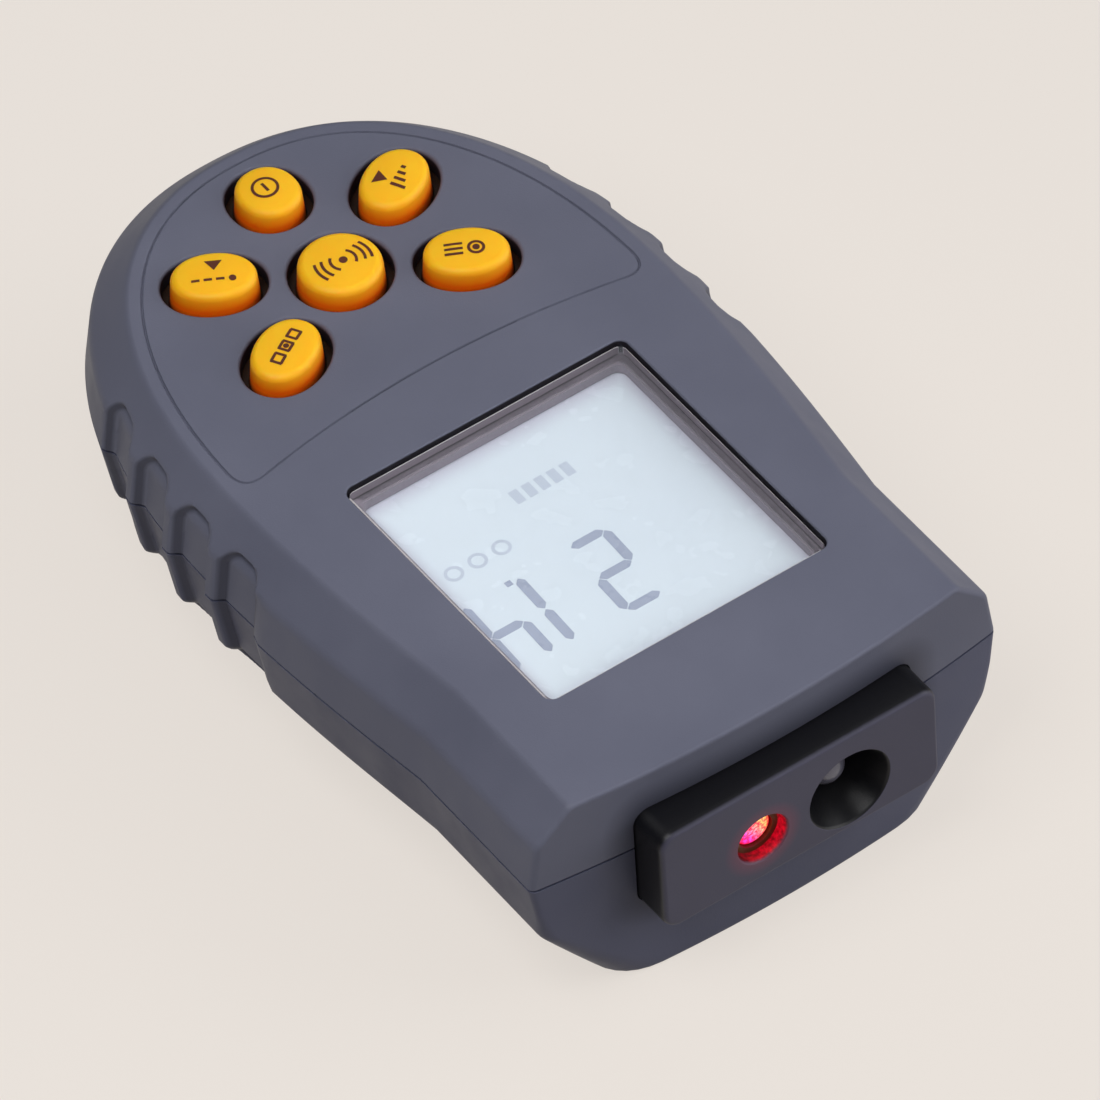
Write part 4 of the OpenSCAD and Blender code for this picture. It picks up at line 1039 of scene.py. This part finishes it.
def glow_finish():
    """Lit laser lens: a speckle of red, magenta and yellow."""
    n = Nodes("laser_glow")
    lean, half = 0.6, 1.3
    middle = LASER_X - lean * APERTURE_Z
    across = n.math("ADD", n.xyz["X"], n.product(n.xyz["Z"], -lean))
    speck = n.noise(2600, 3, 0.65)
    hot = n.mix(n.fade(across, middle - half, middle + half), (255, 214, 120), (255, 70, 215))
    tone = n.mix(n.spread(speck, 0.38, 0.6), (245, 25, 70), hot)
    out = n.hypot(n.beyond(n.xyz["X"], LASER_X), n.beyond(n.xyz["Z"], APERTURE_Z))
    tone = n.mix(n.fade(out, 1.7, 2.2), tone, (225, 10, 40))
    return n.set(
        Base_Color=tone,
        Roughness=n.spread(speck, 0.0, 1.0, 0.2, 0.4),
        Emission_Color=tone,
        Emission_Strength=1.0,
    )


# The second and third colours are painted shade for the key sides and for the parts under the deck.
key_orange = rubber("key_orange", (255, 186, 22), (255, 104, 0), (46, 26, 16))
finishes = {
    # front_shade and rear_shade paint shade onto the two shells.
    "top_case": plastic("case_grey", (97, 99, 115), front_shade),
    "bottom_case": plastic("rear_grey", (83, 85, 104), rear_shade),
    "battery_door": plastic("door_grey", (83, 85, 103)),
    "sensor_block": sensor_finish(),
    "laser_barrel": simple("brass", (96, 66, 44), 0.4, 0.8, 8, 900),
    "laser_lens": glow_finish(),
    "laser_diode": simple("diode_can", (190, 178, 140), 0.35, 0.9),
    "receiver_diode": simple("smoked_epoxy", (104, 103, 118), 0.3, scale=500,
                             Coat_Weight=0.6, Coat_Roughness=0.12),
    "sensor_board": simple("board_green", (26, 84, 56), 0.4, scale=400),
    "window_lens": lens_finish(),
    "window_tape": simple("tape_grey", (128, 118, 130)),
    "lcd_front_glass": display_finish(),
    "lcd_rear_glass": simple("cell_glass", (190, 205, 214), 0.2),
    "lcd_reflector": simple("reflector", (205, 208, 214), 0.3, 0.3),
    "lcd_frame": simple("frame_grey", (58, 56, 62)),
    "zebra_strips": simple("zebra", (60, 60, 60), 0.6),
    "microcontroller": simple("chip_black", (32, 32, 35), 0.4),
    "crystal": simple("crystal_can", (180, 180, 186), 0.3, 0.9),
    "capacitors": simple("capacitor_sleeve", (42, 46, 84), 0.35),
    "regulator": simple("regulator_black", (34, 34, 34), 0.45),
    "resistors": simple("resistor_black", (40, 40, 42)),
    "board_header": simple("header_black", (30, 30, 30)),
    "key_pads": simple("carbon", (36, 36, 38), 0.7),
    "battery": simple("battery_jacket", (40, 42, 50), 0.3, 0.35),
    "battery_terminals": simple("nickel", (205, 205, 205), 0.25, 1.0),
    "battery_snap": simple("snap_black", (28, 28, 30), 0.55),
    "lead_red": simple("lead_red", (190, 28, 24), 0.45),
    "lead_black": simple("lead_black", (26, 26, 28), 0.45),
    "battery_pad": simple("foam_grey", (70, 70, 74), 0.9, 0.0, 14, 900, (0.0003, 1200)),
    "case_screws": simple("screw_steel", (170, 170, 172), 0.3, 1.0),
    "board_screws": simple("board_screw_steel", (180, 176, 160), 0.3, 1.0),
}
finishes["main_board"] = finishes["sensor_board"]
finishes["keypad_mat"] = key_orange
for name in KEYS:
    finishes[name + "_pill"] = finishes["key_pads"]
    finishes[name + "_key"] = key_orange


# ---------------------------------------------------------------- CAD nodes
def soften_group():
    """Welds the facets, then shades smooth but for sharp edges."""
    group = bpy.data.node_groups.new("soften", "GeometryNodeTree")
    for way in ("INPUT", "OUTPUT"):
        group.interface.new_socket("Geometry", in_out=way, socket_type="NodeSocketGeometry")
    start = group.nodes.new("NodeGroupInput")
    end = group.nodes.new("NodeGroupOutput")
    merge = group.nodes.new("GeometryNodeMergeByDistance")
    merge.inputs["Distance"].default_value = 2e-6
    faces = group.nodes.new("GeometryNodeSetShadeSmooth")
    edges = group.nodes.new("GeometryNodeSetShadeSmooth")
    edges.domain = "EDGE"
    turn = group.nodes.new("GeometryNodeInputMeshEdgeAngle")
    compare = group.nodes.new("FunctionNodeCompare")
    compare.operation = "LESS_THAN"
    compare.inputs[1].default_value = math.radians(SHARP)
    link = group.links.new
    link(start.outputs[0], merge.inputs["Geometry"])
    link(merge.outputs[0], faces.inputs["Geometry"])
    link(faces.outputs[0], edges.inputs["Geometry"])
    link(turn.outputs["Unsigned Angle"], compare.inputs[0])
    link(compare.outputs[0], edges.inputs["Shade Smooth"])
    link(edges.outputs[0], end.inputs[0])
    return group


def paint(obj, finish):
    obj.data.materials.clear()
    obj.data.materials.append(finish)


SOFT = soften_group()
for name, obj in nodes.items():
    paint(obj, finishes[name])
    obj.modifiers.new("soften", "NODES").node_group = SOFT
    weigh_normals(obj)


# ---------------------------------------------------------------- own pieces, some for CAD nodes
def dress(piece, body, finish, node=None, angle=SHARP):
    paint(piece, finish)
    polish(piece, angle)
    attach(piece, body)
    if node:
        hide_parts(node)


for make, slot, node, angle in (
        (make_top, "front_shell", "top_case", 40),
        (make_bottom, "rear_shell", "bottom_case", 40),
        (make_block, "sensor_block", "sensor_block", SHARP),
        (make_lens, "window", "window_lens", 60),
        (make_laser_lens, "laser_glass", "laser_lens", 60)):
    dress(make(), "case", finishes[node], node, angle)
key_ink = simple("key_ink", (84, 34, 12), 0.6, spread=3)
for name in KEYS:
    dress(make_key(name), name + "_key", key_orange, name + "_key", 40)
    dress(key_mark(name), name + "_key", key_ink)
dress(reading(), "case", simple("segment_grey", (158, 168, 191), 0.3, spread=2))
dress(small_signs(), "case", simple("sign_grey", (192, 203, 219), 0.3, spread=2))


# ---------------------------------------------------------------- stage
def stage_finish(name, colour):
    """Pale paper: its own colour to the camera and in reflections, darker paper for the light."""
    n = Nodes(name)
    tone = n.mix(n.cloud(2, 2), *shades(colour, 0.5))
    n.set(Base_Color=n.mix(0.65, tone, (20, 20, 24)), Roughness=0.9)
    path = n.add("ShaderNodeLightPath").outputs
    seen = n.math("MAXIMUM", path["Is Camera Ray"],
                  n.math("MAXIMUM", path["Is Glossy Ray"], path["Is Transmission Ray"]))
    glow = n.add("ShaderNodeEmission", Color=tone, Strength=0.84).outputs[0]
    lit = n.add("ShaderNodeBsdfDiffuse", Color=tone).outputs[0]
    black = n.add("ShaderNodeBsdfDiffuse", Color=(0, 0, 0, 1)).outputs[0]
    dim = n.add("ShaderNodeMixShader", 0.83, lit, black).outputs[0]
    shown = n.add("ShaderNodeAddShader", dim, glow).outputs[0]
    pick = n.add("ShaderNodeMixShader", seen, n.shader.outputs[0], shown).outputs[0]
    n.put(n.tree.nodes["Material Output"], 0, pick)
    return n.mat


def place_new(name, data):
    obj = bpy.data.objects.new(name, data)
    bpy.context.scene.collection.objects.link(obj)
    return obj


def lamp(azimuth, height, distance, size, power):
    """A soft square lamp aimed at the object; angles in degrees, sizes in metres."""
    data = bpy.data.lights.new("lamp_%d_%d" % (azimuth, height), "AREA")
    data.size = size
    data.energy = power
    turn, rise = math.radians(azimuth), math.radians(height)
    flat = math.cos(rise)
    way = Vector((flat * math.cos(turn), flat * math.sin(turn), math.sin(rise)))
    obj = place_new(data.name, data)
    obj.location = Vector((0, 0.03, 0.02)) + way * distance
    obj.rotation_euler = way.to_track_quat("Z", "Y").to_euler()


def make_stage():
    mesh = bpy.data.meshes.new("floor")
    mesh.from_pydata([(4 * x, 4 * y, 0) for x, y in ((-1, -1), (1, -1), (1, 1), (-1, 1))],
                     [], [(0, 1, 2, 3)])
    mesh.materials.append(stage_finish("floor_paper", (232, 225, 218)))
    floor = place_new("floor", mesh)
    floor.location.z = -0.0002

    world = bpy.data.worlds.new("studio")
    bpy.context.scene.world = world
    world.use_nodes = True
    background = world.node_tree.nodes["Background"]
    background.inputs[0].default_value = (0.86, 0.88, 0.95, 1)
    background.inputs[1].default_value = 0.06

    lamp(15, 63, 0.42, 0.24, 1.15)
    lamp(150, 26, 1.2, 1.0, 10.2)
    lamp(85, 45, 1.2, 1.2, 2.8)
    lamp(235, 50, 1.2, 1.2, 2.2)


def make_camera():
    data = bpy.data.cameras.new("camera")
    data.sensor_fit = "HORIZONTAL"
    data.sensor_width = 36
    data.lens = 435.87
    data.clip_start, data.clip_end = 0.1, 20
    camera = place_new("camera", data)
    camera.matrix_world = Matrix((
        (-0.81447019, -0.4531562, 0.36233654, 0.53433),
        (0.57824857, -0.5827313, 0.57101036, 0.85211),
        (-0.04761205, 0.6745915, 0.73665419, 1.10612),
        (0, 0, 0, 1),
    ))
    bpy.context.scene.camera = camera


make_stage()
make_camera()
bpy.context.scene.view_settings.view_transform = "Standard"
